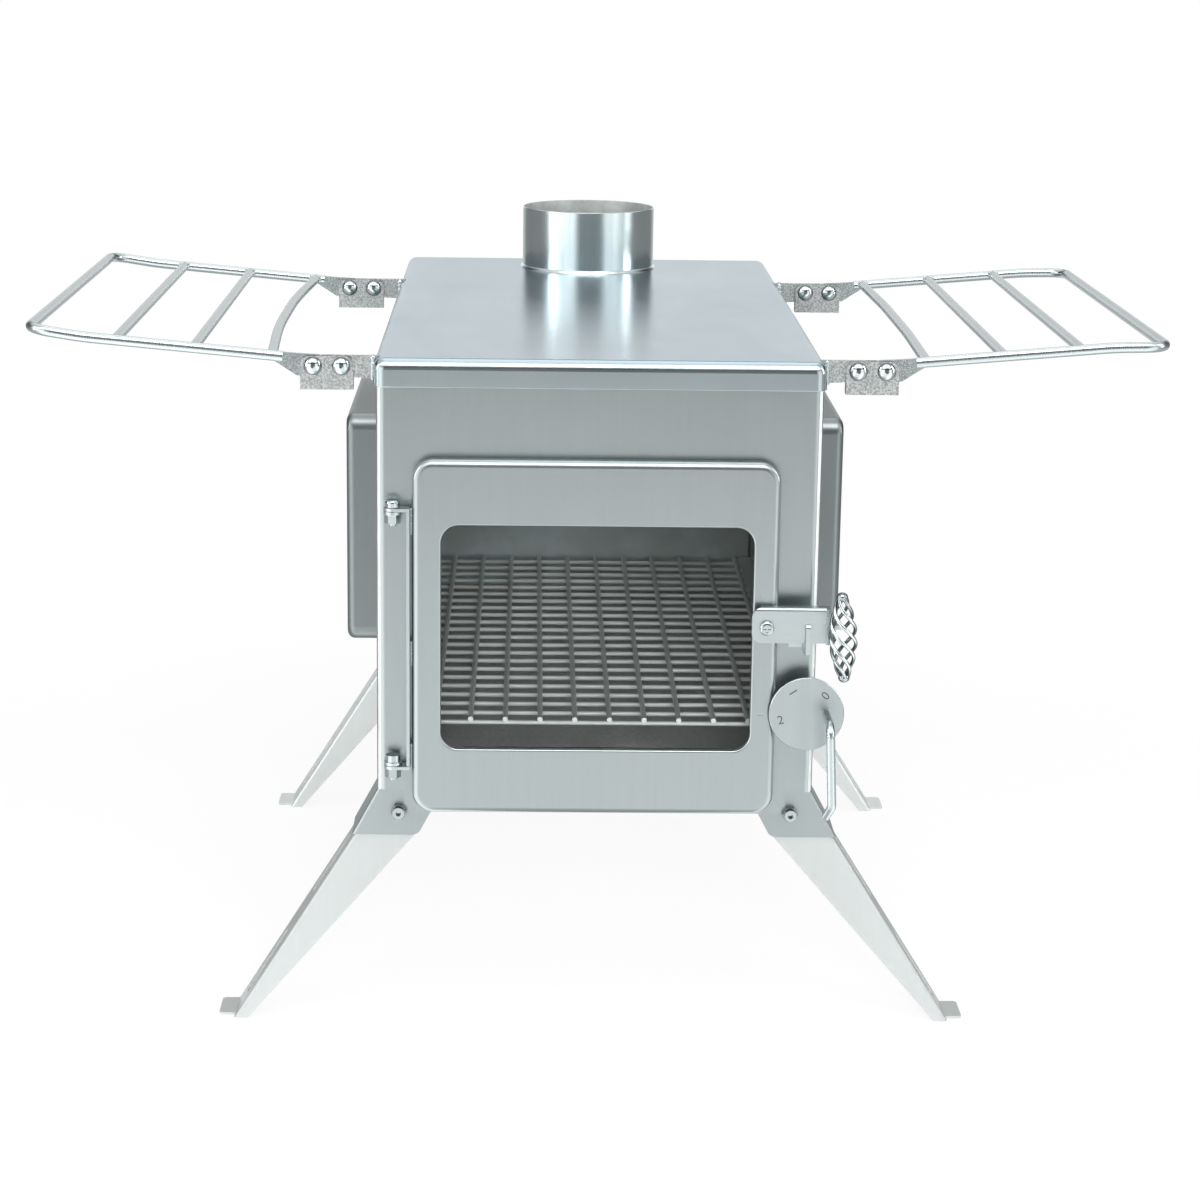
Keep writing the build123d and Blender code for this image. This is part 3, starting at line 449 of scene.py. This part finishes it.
def leg_finish(name):
    """Matt folded legs, with painted shade towards the front and painted light towards the rear."""
    made = brushed(name, 0.57, 0.45, "z", tint=PALE, metallic=0.5)
    # Painted light and shade: the legs' colour is darker at the front and paler towards the rear
    return made.toned(made.steps(made.axes()[1], FRONT, LEG_REAR, 0.78, 1.3))


def rope_finish(name):
    """Woven glass-fibre rope, grey and matt."""
    made = Finish(name, metallic=0.0, roughness=0.9)
    weave = made.number(
        "ShaderNodeTexWave",
        {"wave_type": "BANDS", "bands_direction": "DIAGONAL"},
        {"Vector": made.place, "Scale": 260.0, "Distortion": 2.0, "Detail": 2.0},
        "Fac",
    )
    fluff = made.noise(900.0, 3.0)
    made.send(
        Base_Color=made.shade(grey(0.20, (1.0, 0.98, 0.94)), 0.6 + weave * 0.5 + fluff * 0.3),
        Normal=made.relief(weave * 0.7 + fluff * 0.3, 0.0005),
    )
    return made


def glass_finish(name):
    """Tinted heat-proof glass: a grey see-through tint under a clear reflection."""
    made = Finish(name, metallic=0.0, roughness=0.03)
    smear = made.noise(20.0, 4.0, 0.6)
    tint = made.add("ShaderNodeBsdfTransparent", {}, {"Color": (0.90, 0.92, 0.93, 1.0)})
    made.send(Base_Color=grey(0.03), Roughness=made.steps(smear, 0.3, 0.8, 0.02, 0.09))
    gloss = made.number("ShaderNodeFresnel", {}, {"IOR": 1.35})
    made.cover(gloss, tint, made.shader.outputs[0])
    return made


def print_finish(name):
    """Dark print on the dial, a little worn."""
    made = Finish(name, metallic=0.0, roughness=0.5)
    wear = made.noise(900.0, 3.0)
    made.send(Base_Color=made.shade(grey(0.05), 0.6 + wear * 0.9))
    return made


FINISHES = {
    "top_plate": top_finish("top_satin"),
    "flue_collar": collar_finish("collar_brushed"),
    "firebox_shell": shell_finish("shell_brushed"),
    "air_shutter": brushed("shutter_brushed", 0.50, 0.35, "z"),
    "bottom_plate": soot_finish("firebox_floor"),
    "grate": wire_finish("grate_steel", 0.88, 0.34, 500.0, 0.5, TAN),
    "cover": brushed("cover_brushed", 0.29, 0.36, "z"),
    "door_pan": brushed("door_brushed", 0.50, 0.30, "z"),
    "glass": glass_finish("tinted_glass"),
    "rope": rope_finish("glass_rope"),
    "hinge": brushed("hinge_satin", 0.66, 0.32, "z"),
    "latch": brushed("latch_satin", 0.63, 0.30, "x"),
    "bright": bright_finish("polished_steel", 0.56, 0.09),
    "rivet": rivet_finish("rivet_polished"),
    "coil": coil_finish("coil_polished"),
    "nut": bright_finish("dark_nut", 0.30, 0.22),
    "grain": grain_finish("grained_steel"),
    "rod": rod_finish("rack_rod"),
    "wire": wire_finish("handle_wire"),
    "dial": brushed("dial_brushed", 0.57, 0.34, "z", streak=0.08),
    "leg": leg_finish("leg_matt"),
    "bracket": brushed("bracket_matt", 0.50, 0.42, "z"),
    "print": print_finish("dial_print"),
    "weld": wire_finish("weld_metal", 0.62, 0.30, 1300.0),
    "seam": wire_finish("seam_metal", 0.80, 0.22, 700.0),
}

WORN_BY = {
    "top_plate": ("top_plate",),
    "flue_collar": ("flue_collar",),
    "firebox_shell": ("firebox_shell", "back_wall"),
    "air_shutter": ("glass_retainers", "air_shutter"),
    "bottom_plate": ("bottom_plate",),
    "grate": ("grate_ledges", "grate_long_wires", "grate_cross_wires"),
    "cover": ("side_cover_left", "side_cover_right"),
    "door_pan": ("door_pan",),
    "glass": ("door_glass",),
    "rope": ("glass_seal", "door_gasket"),
    "hinge": ("hinge_plate", "hinge_lugs", "latch_standoff", "keeper_hook"),
    "latch": ("latch_bar",),
    "bright": (
        "hinge_bolts", "hinge_nuts", "leg_bolts", "latch_screw", "handle_screw", "dial_spindle",
        "dial_bush", "dial_clip", "glass_retainer_studs", "glass_retainer_nuts",
    ),
    "rivet": ("rack_inner_rivets", "rack_outer_rivets_left", "rack_outer_rivets_right"),
    "coil": ("coil_handle",),
    "nut": ("leg_nuts",),
    "grain": ("rack_ears", "rack_links_left", "rack_links_right"),
    "rod": ("rack_frame_left", "rack_frame_right", "rack_bars_left", "rack_bars_right"),
    "wire": ("dial_handle",),
    "dial": ("air_dial",),
    "leg": ("leg_front_left", "leg_front_right", "leg_rear_left", "leg_rear_right"),
    "bracket": (
        "leg_bracket_front_left", "leg_bracket_front_right",
        "leg_bracket_rear_left", "leg_bracket_rear_right",
    ),
}


def put_on(piece, finish):
    piece.data.materials.clear()
    piece.data.materials.append(FINISHES[finish].material)


# Geometry trees


def new_object(name, data):
    """Puts a new object in the scene."""
    made = bpy.data.objects.new(name, data)
    bpy.context.scene.collection.objects.link(made)
    return made


class Shaping(NodeTree):
    """A Geometry Nodes tree with named inputs, run once on a mesh and then kept as a plain mesh."""

    def __init__(self, name):
        super().__init__(bpy.data.node_groups.new(name, "GeometryNodeTree"))
        self.inlet = self.tree.nodes.new("NodeGroupInput")
        self.outlet = self.tree.nodes.new("NodeGroupOutput")
        for way in ("OUTPUT", "INPUT"):
            self.tree.interface.new_socket("Geometry", in_out=way, socket_type="NodeSocketGeometry")
        self.sizes = {}

    def size(self, name, value, kind="NodeSocketFloat"):
        """Adds a named input and remembers the value that it is run with."""
        socket = self.tree.interface.new_socket(name, in_out="INPUT", socket_type=kind)
        socket.default_value = value
        self.sizes[socket.identifier] = value
        return Signal(self.tree, self.inlet.outputs[name])

    def vector(self, x, y, z):
        return self.add("ShaderNodeCombineXYZ", {}, {0: x, 1: y, 2: z})

    def traced(self, pitch):
        """The seed mesh's edges as curves, with a point at every pitch."""
        curve = self.add("GeometryNodeMeshToCurve", {}, {"Mesh": self.inlet.outputs[0]})
        even = {"Curve": curve, "Length": pitch}
        return self.add("GeometryNodeResampleCurve", {"mode": "LENGTH"}, even)

    def tube(self, curve, sides, radius):
        """A closed tube along a curve."""
        round_profile = {"Resolution": sides, "Radius": radius}
        ring = self.add("GeometryNodeCurvePrimitiveCircle", {}, round_profile)
        swept = {"Curve": curve, "Profile Curve": ring, "Fill Caps": True}
        return self.add("GeometryNodeCurveToMesh", {}, swept)

    def ball(self, segments, rings, radius):
        sizes = {"Segments": segments, "Rings": rings, "Radius": radius}
        return self.add("GeometryNodeMeshUVSphere", {}, sizes)

    def join(self, pieces):
        node = self.tree.nodes.new("GeometryNodeJoinGeometry")
        for piece in pieces:
            self.tree.links.new(piece, node.inputs[0])
        return node.outputs[0]

    def end(self, geometry, finish):
        """Realizes the instances, smooths them and sets the material."""
        solid = self.add("GeometryNodeRealizeInstances", {}, {"Geometry": geometry})
        smooth = self.add("GeometryNodeSetShadeSmooth", {}, {0: solid})
        dressed = {"Geometry": smooth, "Material": FINISHES[finish].material}
        worn = self.add("GeometryNodeSetMaterial", {}, dressed)
        self.tree.links.new(worn, self.outlet.inputs[0])

    def run(self, name, mesh, finish, place=None):
        """Runs the tree on a mesh and returns a plain mesh object."""
        carrier = new_object(name + "_carrier", mesh)
        modifier = carrier.modifiers.new("shaping", "NODES")
        modifier.node_group = self.tree
        for identifier, value in self.sizes.items():
            modifier[identifier] = value
        depsgraph = bpy.context.evaluated_depsgraph_get()
        evaluated = carrier.evaluated_get(depsgraph)
        plain = bpy.data.meshes.new_from_object(evaluated, depsgraph=depsgraph)
        bpy.data.objects.remove(carrier)
        if place is not None:
            plain.transform(place)
        plain.name = name
        if not plain.materials:
            plain.materials.append(FINISHES[finish].material)
        return new_object(name, plain)


def path_mesh(name, paths):
    """A mesh of open edge chains, one for each path of points."""
    mesh = bpy.data.meshes.new(name)
    points, edges = [], []
    for path in paths:
        start = len(points)
        points += [tuple(point) for point in path]
        edges += [(start + step, start + step + 1) for step in range(len(path) - 1)]
    mesh.from_pydata(points, edges, [])
    return mesh


class STOVE_PG_coil(bpy.types.PropertyGroup):
    """The wire handle's sizes."""

    height: bpy.props.FloatProperty(
        name="Height", description="Cap to cap", default=0.0465, unit="LENGTH"
    )
    belly: bpy.props.FloatProperty(
        name="Belly",
        description="Widest radius of the wires' middle line",
        default=0.00718,
        unit="LENGTH",
    )
    throat: bpy.props.FloatProperty(
        name="Throat", description="Radius where the wires meet", default=0.0019, unit="LENGTH"
    )
    wire: bpy.props.FloatProperty(
        name="Wire", description="Wire radius", default=0.00104, unit="LENGTH"
    )
    wires: bpy.props.IntProperty(name="Wires", description="Number of wires", default=5, min=3)
    turns: bpy.props.FloatProperty(name="Turns", description="Turns from cap to cap", default=1.0)
    tilt: bpy.props.FloatProperty(
        name="Tilt",
        description="Lean from upright",
        default=math.radians(3),
        subtype="ANGLE",
        unit="ROTATION",
    )


class STOVE_PG_weld(bpy.types.PropertyGroup):
    """The weld beads' sizes."""

    radius: bpy.props.FloatProperty(
        name="Radius", description="Radius of one drop", default=0.0011, unit="LENGTH"
    )
    pitch: bpy.props.FloatProperty(
        name="Pitch", description="Distance from drop to drop", default=0.0009, unit="LENGTH"
    )
    seam: bpy.props.FloatProperty(
        name="Seam", description="Radius of the rim's sealing bead", default=0.00055, unit="LENGTH"
    )


class STOVE_PG_dial(bpy.types.PropertyGroup):
    """The dial's printed numbers."""

    height: bpy.props.FloatProperty(
        name="Height", description="Height of a number", default=0.0072, unit="LENGTH"
    )
    reach: bpy.props.FloatProperty(
        name="Reach", description="Distance from the dial's middle", default=0.0152, unit="LENGTH"
    )


class STOVE_PG_camera(bpy.types.PropertyGroup):
    """The view the stove is shown from."""

    lens: bpy.props.FloatProperty(
        name="Lens", description="Focal length for a 36 mm frame", default=88.26, min=20.0
    )
    place: bpy.props.FloatVectorProperty(
        name="Place",
        description="Where the camera stands",
        default=(-0.0381, -1.8402, 0.6432),
        subtype="XYZ",
        unit="LENGTH",
    )
    yaw: bpy.props.FloatProperty(
        name="Yaw",
        description="Turn to the right",
        default=math.radians(1.393),
        subtype="ANGLE",
        unit="ROTATION",
    )
    pitch: bpy.props.FloatProperty(
        name="Pitch",
        description="Tilt down",
        default=math.radians(13.455),
        subtype="ANGLE",
        unit="ROTATION",
    )
    roll: bpy.props.FloatProperty(
        name="Roll",
        description="Turn about the view axis",
        default=math.radians(-0.819),
        subtype="ANGLE",
        unit="ROTATION",
    )


class STOVE_OT_finishes(bpy.types.Operator):
    """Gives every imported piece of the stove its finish"""

    bl_idname = "stove.finishes"
    bl_label = "Dress the packed pieces"

    def execute(self, context):
        for finish, nodes in WORN_BY.items():
            for node in nodes:
                put_on(NODES[node], finish)
        dressed = {node for nodes in WORN_BY.values() for node in nodes}
        bare = set(NODES) - dressed
        if bare:
            raise RuntimeError(f"no finish for {sorted(bare)}")
        return {"FINISHED"}


class STOVE_OT_coil(bpy.types.Operator):
    """Twists the latch handle's wires between two round caps, and joins them to the latch's neck"""

    bl_idname = "stove.coil"
    bl_label = "Coiled handle"

    middle = at(137, 30, 150)
    # Two opposite corners of the bar that joins the wires to the neck, and its edges' rounding
    bar_corners, bar_rounding = (at(133.1, 29.5, 151.9), at(138.9, 18.6, 146.1)), 0.0005
    cap_radius, cap_squash = 0.0033, (1.0, 1.0, 0.82)
    # Below 1 the bulge is fuller towards the caps
    fullness = 0.85
    path_points = 56

    def execute(self, context):
        sizes = context.scene.stove_coil
        shape = Shaping("coiled_handle")
        height = shape.size("Height", sizes.height)
        belly = shape.size("Belly", sizes.belly)
        throat = shape.size("Throat", sizes.throat)
        wire = shape.size("Wire", sizes.wire)
        wires = shape.size("Wires", sizes.wires, "NodeSocketInt")
        turns = shape.size("Turns", sizes.turns)
        line = shape.add("GeometryNodeCurvePrimitiveLine", {}, {"End": (0.0, 0.0, 1.0)})
        fine = {"Curve": line, "Count": self.path_points}
        path = shape.add("GeometryNodeResampleCurve", {}, fine)
        climb = shape.number("GeometryNodeSplineParameter", out="Factor")
        bulge = (climb * math.pi).sine().most(0.0001) ** self.fullness
        out = throat + (belly - throat) * bulge
        angle = climb * turns * (-2.0 * math.pi)
        place = shape.vector(out * angle.cosine(), out * angle.sine(), (climb - 0.5) * height)
        strand = shape.add("GeometryNodeSetPosition", {}, {"Geometry": path, "Position": place})
        spots = shape.add("GeometryNodePoints", {}, {"Count": wires})
        order = shape.number("GeometryNodeInputIndex")
        turn = shape.vector(0.0, 0.0, order * (2.0 * math.pi) / wires)
        spread = {"Points": spots, "Instance": shape.tube(strand, 14, wire), "Rotation": turn}
        pieces = [shape.add("GeometryNodeInstanceOnPoints", {}, spread)]
        for end in (-0.5, 0.5):
            cap = {
                "Geometry": shape.ball(28, 18, self.cap_radius),
                "Translation": shape.vector(0.0, 0.0, height * end),
                "Scale": self.cap_squash,
            }
            pieces.append(shape.add("GeometryNodeTransform", {}, cap))
        shape.end(shape.join(pieces), "coil")
        place = Matrix.Translation(self.middle) @ Matrix.Rotation(-sizes.tilt, 4, "Y")
        coil = shape.run("coil_wires", bpy.data.meshes.new("coil_seed"), "coil", place)
        self.bar(coil)
        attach(coil, "latch")
        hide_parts("coil_handle")
        return {"FINISHED"}

    def bar(self, coil):
        """Adds the square bar that joins the wires to the latch's neck."""
        made = bmesh.new()
        made.from_mesh(coil.data)
        low, high = self.bar_corners
        box = bmesh.ops.create_cube(made, size=1.0)["verts"]
        for vert in box:
            for axis in range(3):
                vert.co[axis] = low[axis] if vert.co[axis] < 0 else high[axis]
        edges = list(dict.fromkeys(edge for vert in box for edge in vert.link_edges))
        bmesh.ops.bevel(made, geom=edges, offset=self.bar_rounding, segments=3, affect="EDGES")
        made.to_mesh(coil.data)
        made.free()
        coil.data.set_sharp_from_angle(angle=math.radians(50))


class STOVE_OT_welds(bpy.types.Operator):
    """Lays weld beads where the rack bars, the ears and the hinge plate are joined"""

    bl_idname = "stove.welds"
    bl_label = "Weld beads"

    # Places in millimetres; a depth is behind the front wall, a drop below the top plate
    rack_root, rack_root_drop, rack_slope = 161.1, 3.0, math.radians(5)
    bar_reaches, bar_depths, bar_sides = (23, 67, 111), (18.0, 349.0), (-2.9, 2.9)
    bar_top, bar_foot = 0.2, -1.9
    ear_out, ear_depths, ear_faces, ear_drops = 127.6, (15, 352), (-1.5, 1.5), (1.6, 12.8)
    tack_out, tack_ahead, tack_drops = -105.4, 6.6, ((84, 98), (161, 174), (221, 233))
    # The beads' sizes as parts of the drop's radius, and the spread of the drops round them
    rack_bead, ear_bead, tack_bead = 0.8, 1.5, 0.75
    least_drop, most_drop, seed = 0.8, 1.15, 7

    def execute(self, context):
        sizes = context.scene.stove_weld
        for side, word in ((-1, "left"), (1, "right")):
            paths = self.rack_paths(side)
            self.lay(f"rack_welds_{word}", f"rack_{word}", paths, sizes, self.rack_bead)
        ears = []
        for side in (-1, 1):
            for depth in self.ear_depths:
                for face in self.ear_faces:
                    x, ahead = side * self.ear_out, -(depth + face)
                    ears.append([at(x, ahead, drop) for drop in self.ear_drops])
        self.lay("ear_welds", "stove", ears, sizes, self.ear_bead)
        tacks = []
        for drops in self.tack_drops:
            tacks.append([at(self.tack_out, self.tack_ahead, drop) for drop in drops])
        self.lay("hinge_welds", "door", tacks, sizes, self.tack_bead)
        return {"FINISHED"}

    def rack_paths(self, side):
        """A short upright path on each side of each bar's two ends."""
        paths = []
        for reach in self.bar_reaches:
            drop = self.rack_root_drop - reach * math.sin(self.rack_slope)
            drops = (drop + self.bar_top, drop + self.bar_foot)
            for depth in self.bar_depths:
                for across in self.bar_sides:
                    x = side * (self.rack_root + (reach + across) * math.cos(self.rack_slope))
                    paths.append([at(x, -depth, place) for place in drops])
        return paths

    def lay(self, name, body, paths, sizes, part):
        """Strings drops of weld along the paths, each a little larger or smaller than the next."""
        shape = Shaping(name)
        bead = shape.size("Radius", sizes.radius * part)
        pitch = shape.size("Pitch", sizes.pitch)
        seed = shape.size("Seed", self.seed, "NodeSocketInt")
        # The random node's sockets 2 and 3 are the least and the most of a plain number
        spread = {2: self.least_drop, 3: self.most_drop, "Seed": seed}
        grown = shape.add("FunctionNodeRandomValue", {}, spread, 1)
        even = {"Curve": shape.traced(pitch)}
        spots = shape.add("GeometryNodeCurveToPoints", {"mode": "EVALUATED"}, even)
        drops = {"Points": spots, "Instance": shape.ball(9, 6, bead), "Scale": grown}
        shape.end(shape.add("GeometryNodeInstanceOnPoints", {}, drops), "weld")
        piece = shape.run(name, path_mesh(name, paths), "weld")
        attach(piece, body)


class STOVE_OT_seam(bpy.types.Operator):
    """Runs the fine sealing bead under the top plate's rim, round the firebox"""

    bl_idname = "stove.seam"
    bl_label = "Rim seam"

    bend, bend_steps = 0.005, 6
    pitch = 0.003

    def execute(self, context):
        shape = Shaping("rim_seam")
        radius = shape.size("Radius", context.scene.stove_weld.seam)
        wander = shape.number("ShaderNodeTexNoise", {}, {"Scale": 60.0, "Detail": 2.0})
        uneven = {"Curve": shape.traced(self.pitch), "Radius": 0.75 + wander * 0.5}
        thick = shape.add("GeometryNodeSetCurveRadius", {}, uneven)
        shape.end(shape.tube(thick, 8, radius), "seam")
        piece = shape.run("rim_seam", path_mesh("rim_seam_path", [self.loop()]), "seam")
        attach(piece, "stove")
        return {"FINISHED"}

    def loop(self):
        """A closed path round the firebox, under the rim, bent at its corners."""
        low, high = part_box("firebox_shell")
        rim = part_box("top_plate")[0].z
        right = ((high.x, low.y, -90), (high.x, high.y, 0))
        left = ((low.x, high.y, 90), (low.x, low.y, 180))
        loop = []
        for x, y, start in right + left:
            middle_x = x - math.copysign(self.bend, x)
            middle_y = y - math.copysign(self.bend, y - (low.y + high.y) / 2)
            for step in range(self.bend_steps + 1):
                turn = math.radians(start + 90 * step / self.bend_steps)
                across, along = self.bend * math.cos(turn), self.bend * math.sin(turn)
                loop.append(Vector((middle_x + across, middle_y + along, rim)))
        return loop + loop[:1]


class STOVE_OT_numbers(bpy.types.Operator):
    """Prints plain numbers on the air dial, each upright when it is turned to the mark"""

    bl_idname = "stove.numbers"
    bl_label = "Dial numbers"

    # Degrees round the dial from its right side, anticlockwise as seen from the front
    places = (("0", 48.0), ("1", 123.0), ("2", 194.0))
    thickness = 0.00004

    def execute(self, context):
        sizes = context.scene.stove_dial
        joined = bmesh.new()
        for text, angle in self.places:
            curve = bpy.data.curves.new("number_" + text, "FONT")
            curve.body = text
            curve.size = sizes.height
            curve.align_x = curve.align_y = "CENTER"
            curve.extrude = self.thickness
            carrier = new_object("number_carrier", curve)
            depsgraph = context.evaluated_depsgraph_get()
            mesh = bpy.data.meshes.new_from_object(carrier.evaluated_get(depsgraph))
            bpy.data.objects.remove(carrier)
            turn = math.radians(angle)
            spot = DIAL_MID + Vector((math.cos(turn), 0.0, math.sin(turn))) * sizes.reach
            spot.y = DIAL_LOW.y - self.thickness
            upright = Matrix.Rotation(math.radians(90), 4, "X")
            round_dial = Matrix.Rotation(math.pi - turn, 4, "Y")
            mesh.transform(Matrix.Translation(spot) @ round_dial @ upright)
            joined.from_mesh(mesh)
        print_mesh = bpy.data.meshes.new("dial_numbers")
        joined.to_mesh(print_mesh)
        joined.free()
        numbers = new_object("dial_numbers", print_mesh)
        put_on(numbers, "print")
        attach(numbers, "air_dial")
        return {"FINISHED"}


class STOVE_OT_stage(bpy.types.Operator):
    """Sets the floor, the soft studio light and the camera"""

    bl_idname = "stove.stage"
    bl_label = "Set the studio"

    floor_reach = 9.0
    # Where the cards stand, by how far to the right a direction points, from -1 to 1
    left_card, right_card = (-0.92, -0.84, -0.46, -0.30), (0.38, 0.5, 0.8, 0.9)
    dark_gap = left_card[2:] + right_card[:2]
    left_glow, right_glow, rear_glow = 1.5, 1.15, 0.4
    # How far forwards, or backwards, a direction points where the front and the rear card begin
    front_edge, rear_edge = (-0.05, 0.1), (0.8, 0.95)
    # Distances over the floor from the stove's middle, between which each of its parts changes
    fading, shaded, dimming, clearing = (0.35, 3.2), (0.26, 0.46), (1.1, 2.4), (0.45, 0.85)
    # How steeply a direction climbs where the sky dims, and where it brightens overhead
    dim_band, overhead = (0.28, 0.36, 0.46, 0.6), (0.48, 0.7)
    ambient = 0.62
    # Each lamp's name, place, target, size, watts, and whether the metal mirrors it
    lamps = (
        ("key", (0.2, -1.6, 2.6), (0.0, -0.1, 0.25), (1.6, 1.2), 26.0, True),
        ("fill", (0.1, -2.0, 0.72), (0.0, 0.0, 0.18), (0.9, 0.6), 46.0, False),
        ("left_strip", (-2.0, -0.7, 0.9), (0.0, 0.0, 0.25), (0.5, 1.8), 13.0, True),
        ("right_strip", (2.1, -0.5, 1.1), (0.0, 0.0, 0.25), (0.5, 1.8), 13.0, True),
    )

    def execute(self, context):
        scene = context.scene
        scene.view_settings.view_transform = "Standard"
        floor_mesh = bpy.data.meshes.new("floor")
        reach = self.floor_reach
        corners = [(x * reach, y * reach, 0.0) for x, y in ((-1, -1), (1, -1), (1, 1), (-1, 1))]
        floor_mesh.from_pydata(corners, [], [(0, 1, 2, 3)])
        floor = new_object("floor", floor_mesh)
        floor_mesh.materials.append(self.floor_material())
        self.world(scene)
        for lamp in self.lamps:
            self.lamp(*lamp)
        self.camera(scene)
        return {"FINISHED"}

    def floor_material(self):
        """White with the stove's shadow for the camera, and a row of cards for reflections."""
        made = Finish("studio_floor", metallic=0.0, roughness=0.9)
        made.send(Base_Color=grey(0.86))
        seen, gloss = made.rays("Camera", "Glossy")
        side, back, up = made.axes()
        away = (side * side + back * back) ** 0.5
        fading = made.steps(away, *self.fading, 1.15, 0.22, False)
        shaded = made.steps(away, *self.shaded, 0.35, 1.0)
        around = made.steps(away, *self.dimming, 0.42, 0.13)
        card = self.cards(side, back, rear=0.0, gap=fading * shaded, around=around)
        lit = {"Color": grey(1.0), "Strength": seen + gloss * card}
        glow = made.add("ShaderNodeEmission", {}, lit)
        clear = made.steps(away, *self.clearing, 0.86, 1.0)
        made.cover(seen * clear + gloss * 0.8, made.shader.outputs[0], glow)
        return made.material

    def world(self, scene):
        """A white backdrop, with the same cards in reflections and an even light for the rest."""
        world = bpy.data.worlds.new("studio")
        scene.world = world
        world.use_nodes = True
        sky = NodeTree(world.node_tree)
        sky.tree.nodes.clear()
        output = sky.tree.nodes.new("ShaderNodeOutputWorld")
        seen, gloss, through = sky.rays("Camera", "Glossy", "Transmission")
        gloss = gloss.most(through)
        side, back, up = sky.split(sky.add("ShaderNodeTexCoord", out="Generated"))
        cards = self.cards(side, back, rear=0.35, gap=0.2, around=0.15)
        band = sky.window(up, *self.dim_band)
        card = cards * (1.0 - band * 0.8) + sky.steps(up, *self.overhead) * 0.6
        level = seen.most(gloss * card).most(self.ambient - gloss * self.ambient)
        glow = sky.add("ShaderNodeBackground", {}, {"Color": grey(1.0), "Strength": level})
        sky.tree.links.new(glow, output.inputs["Surface"])

    def cards(self, side, back, rear, gap, around):
        """How bright the metal sees the studio: white cards on each side of a gap."""
        tree = NodeTree(side.tree)
        flat = (side * side + back * back).most(0.0001) ** 0.5
        across = side / flat
        ahead = -back / flat
        left = tree.window(across, *self.left_card)
        right = tree.window(across, *self.right_card)
        behind = tree.steps(-ahead, *self.rear_edge)
        front = tree.steps(ahead, *self.front_edge)
        middle = tree.window(across, *self.dark_gap)
        shown = left * self.left_glow + right * self.right_glow + middle * (gap - around)
        return around + front * shown + behind * (self.rear_glow + rear)

    def lamp(self, name, place, target, size, power, mirrored):
        data = bpy.data.lights.new(name, "AREA")
        data.shape = "RECTANGLE"
        data.size, data.size_y = size
        data.energy = power
        lamp = new_object(name, data)
        lamp.visible_glossy = mirrored
        lamp.location = place
        aim = Vector(target) - Vector(place)
        lamp.rotation_euler = aim.to_track_quat("-Z", "Y").to_euler()

    def camera(self, scene):
        """Turns by the yaw, then the pitch, and last the roll about the view axis."""
        view = scene.stove_camera
        data = bpy.data.cameras.new("camera")
        data.sensor_width = 36.0
        data.lens = view.lens
        data.clip_start, data.clip_end = 0.05, 60.0
        camera = new_object("camera", data)
        ahead = Vector(
            (
                math.sin(view.yaw) * math.cos(view.pitch),
                math.cos(view.yaw) * math.cos(view.pitch),
                -math.sin(view.pitch),
            )
        )
        level = Vector((math.cos(view.yaw), -math.sin(view.yaw), 0.0))
        below = ahead.cross(level)
        right = level * math.cos(view.roll) + below * math.sin(view.roll)
        down = below * math.cos(view.roll) - level * math.sin(view.roll)
        turned = Matrix((right, -down, -ahead)).transposed()
        camera.matrix_world = Matrix.Translation(Vector(view.place)) @ turned.to_4x4()
        scene.camera = camera


class STOVE_PT_panel(bpy.types.Panel):
    """The stove's pieces and studio"""

    bl_idname = "STOVE_PT_panel"
    bl_label = "Tent wood stove"
    bl_space_type = "VIEW_3D"
    bl_region_type = "UI"
    bl_category = "Stove"

    def draw(self, context):
        for operator in OPERATORS:
            self.layout.operator(operator.bl_idname)
        for group, cls in GROUPS:
            for name in cls.__annotations__:
                self.layout.prop(getattr(context.scene, group), name)


GROUPS = (
    ("stove_coil", STOVE_PG_coil),
    ("stove_weld", STOVE_PG_weld),
    ("stove_dial", STOVE_PG_dial),
    ("stove_camera", STOVE_PG_camera),
)
OPERATORS = (
    STOVE_OT_finishes,
    STOVE_OT_coil,
    STOVE_OT_welds,
    STOVE_OT_seam,
    STOVE_OT_numbers,
    STOVE_OT_stage,
)


def register():
    for name, group in GROUPS:
        bpy.utils.register_class(group)
        setattr(bpy.types.Scene, name, bpy.props.PointerProperty(type=group))
    for cls in OPERATORS + (STOVE_PT_panel,):
        bpy.utils.register_class(cls)


def unregister():
    for cls in (STOVE_PT_panel,) + OPERATORS:
        bpy.utils.unregister_class(cls)
    for name, group in GROUPS:
        delattr(bpy.types.Scene, name)
        bpy.utils.unregister_class(group)


def main():
    register()
    for operator in OPERATORS:
        group, verb = operator.bl_idname.split(".")
        getattr(getattr(bpy.ops, group), verb)()


if __name__ == "__main__":
    main()
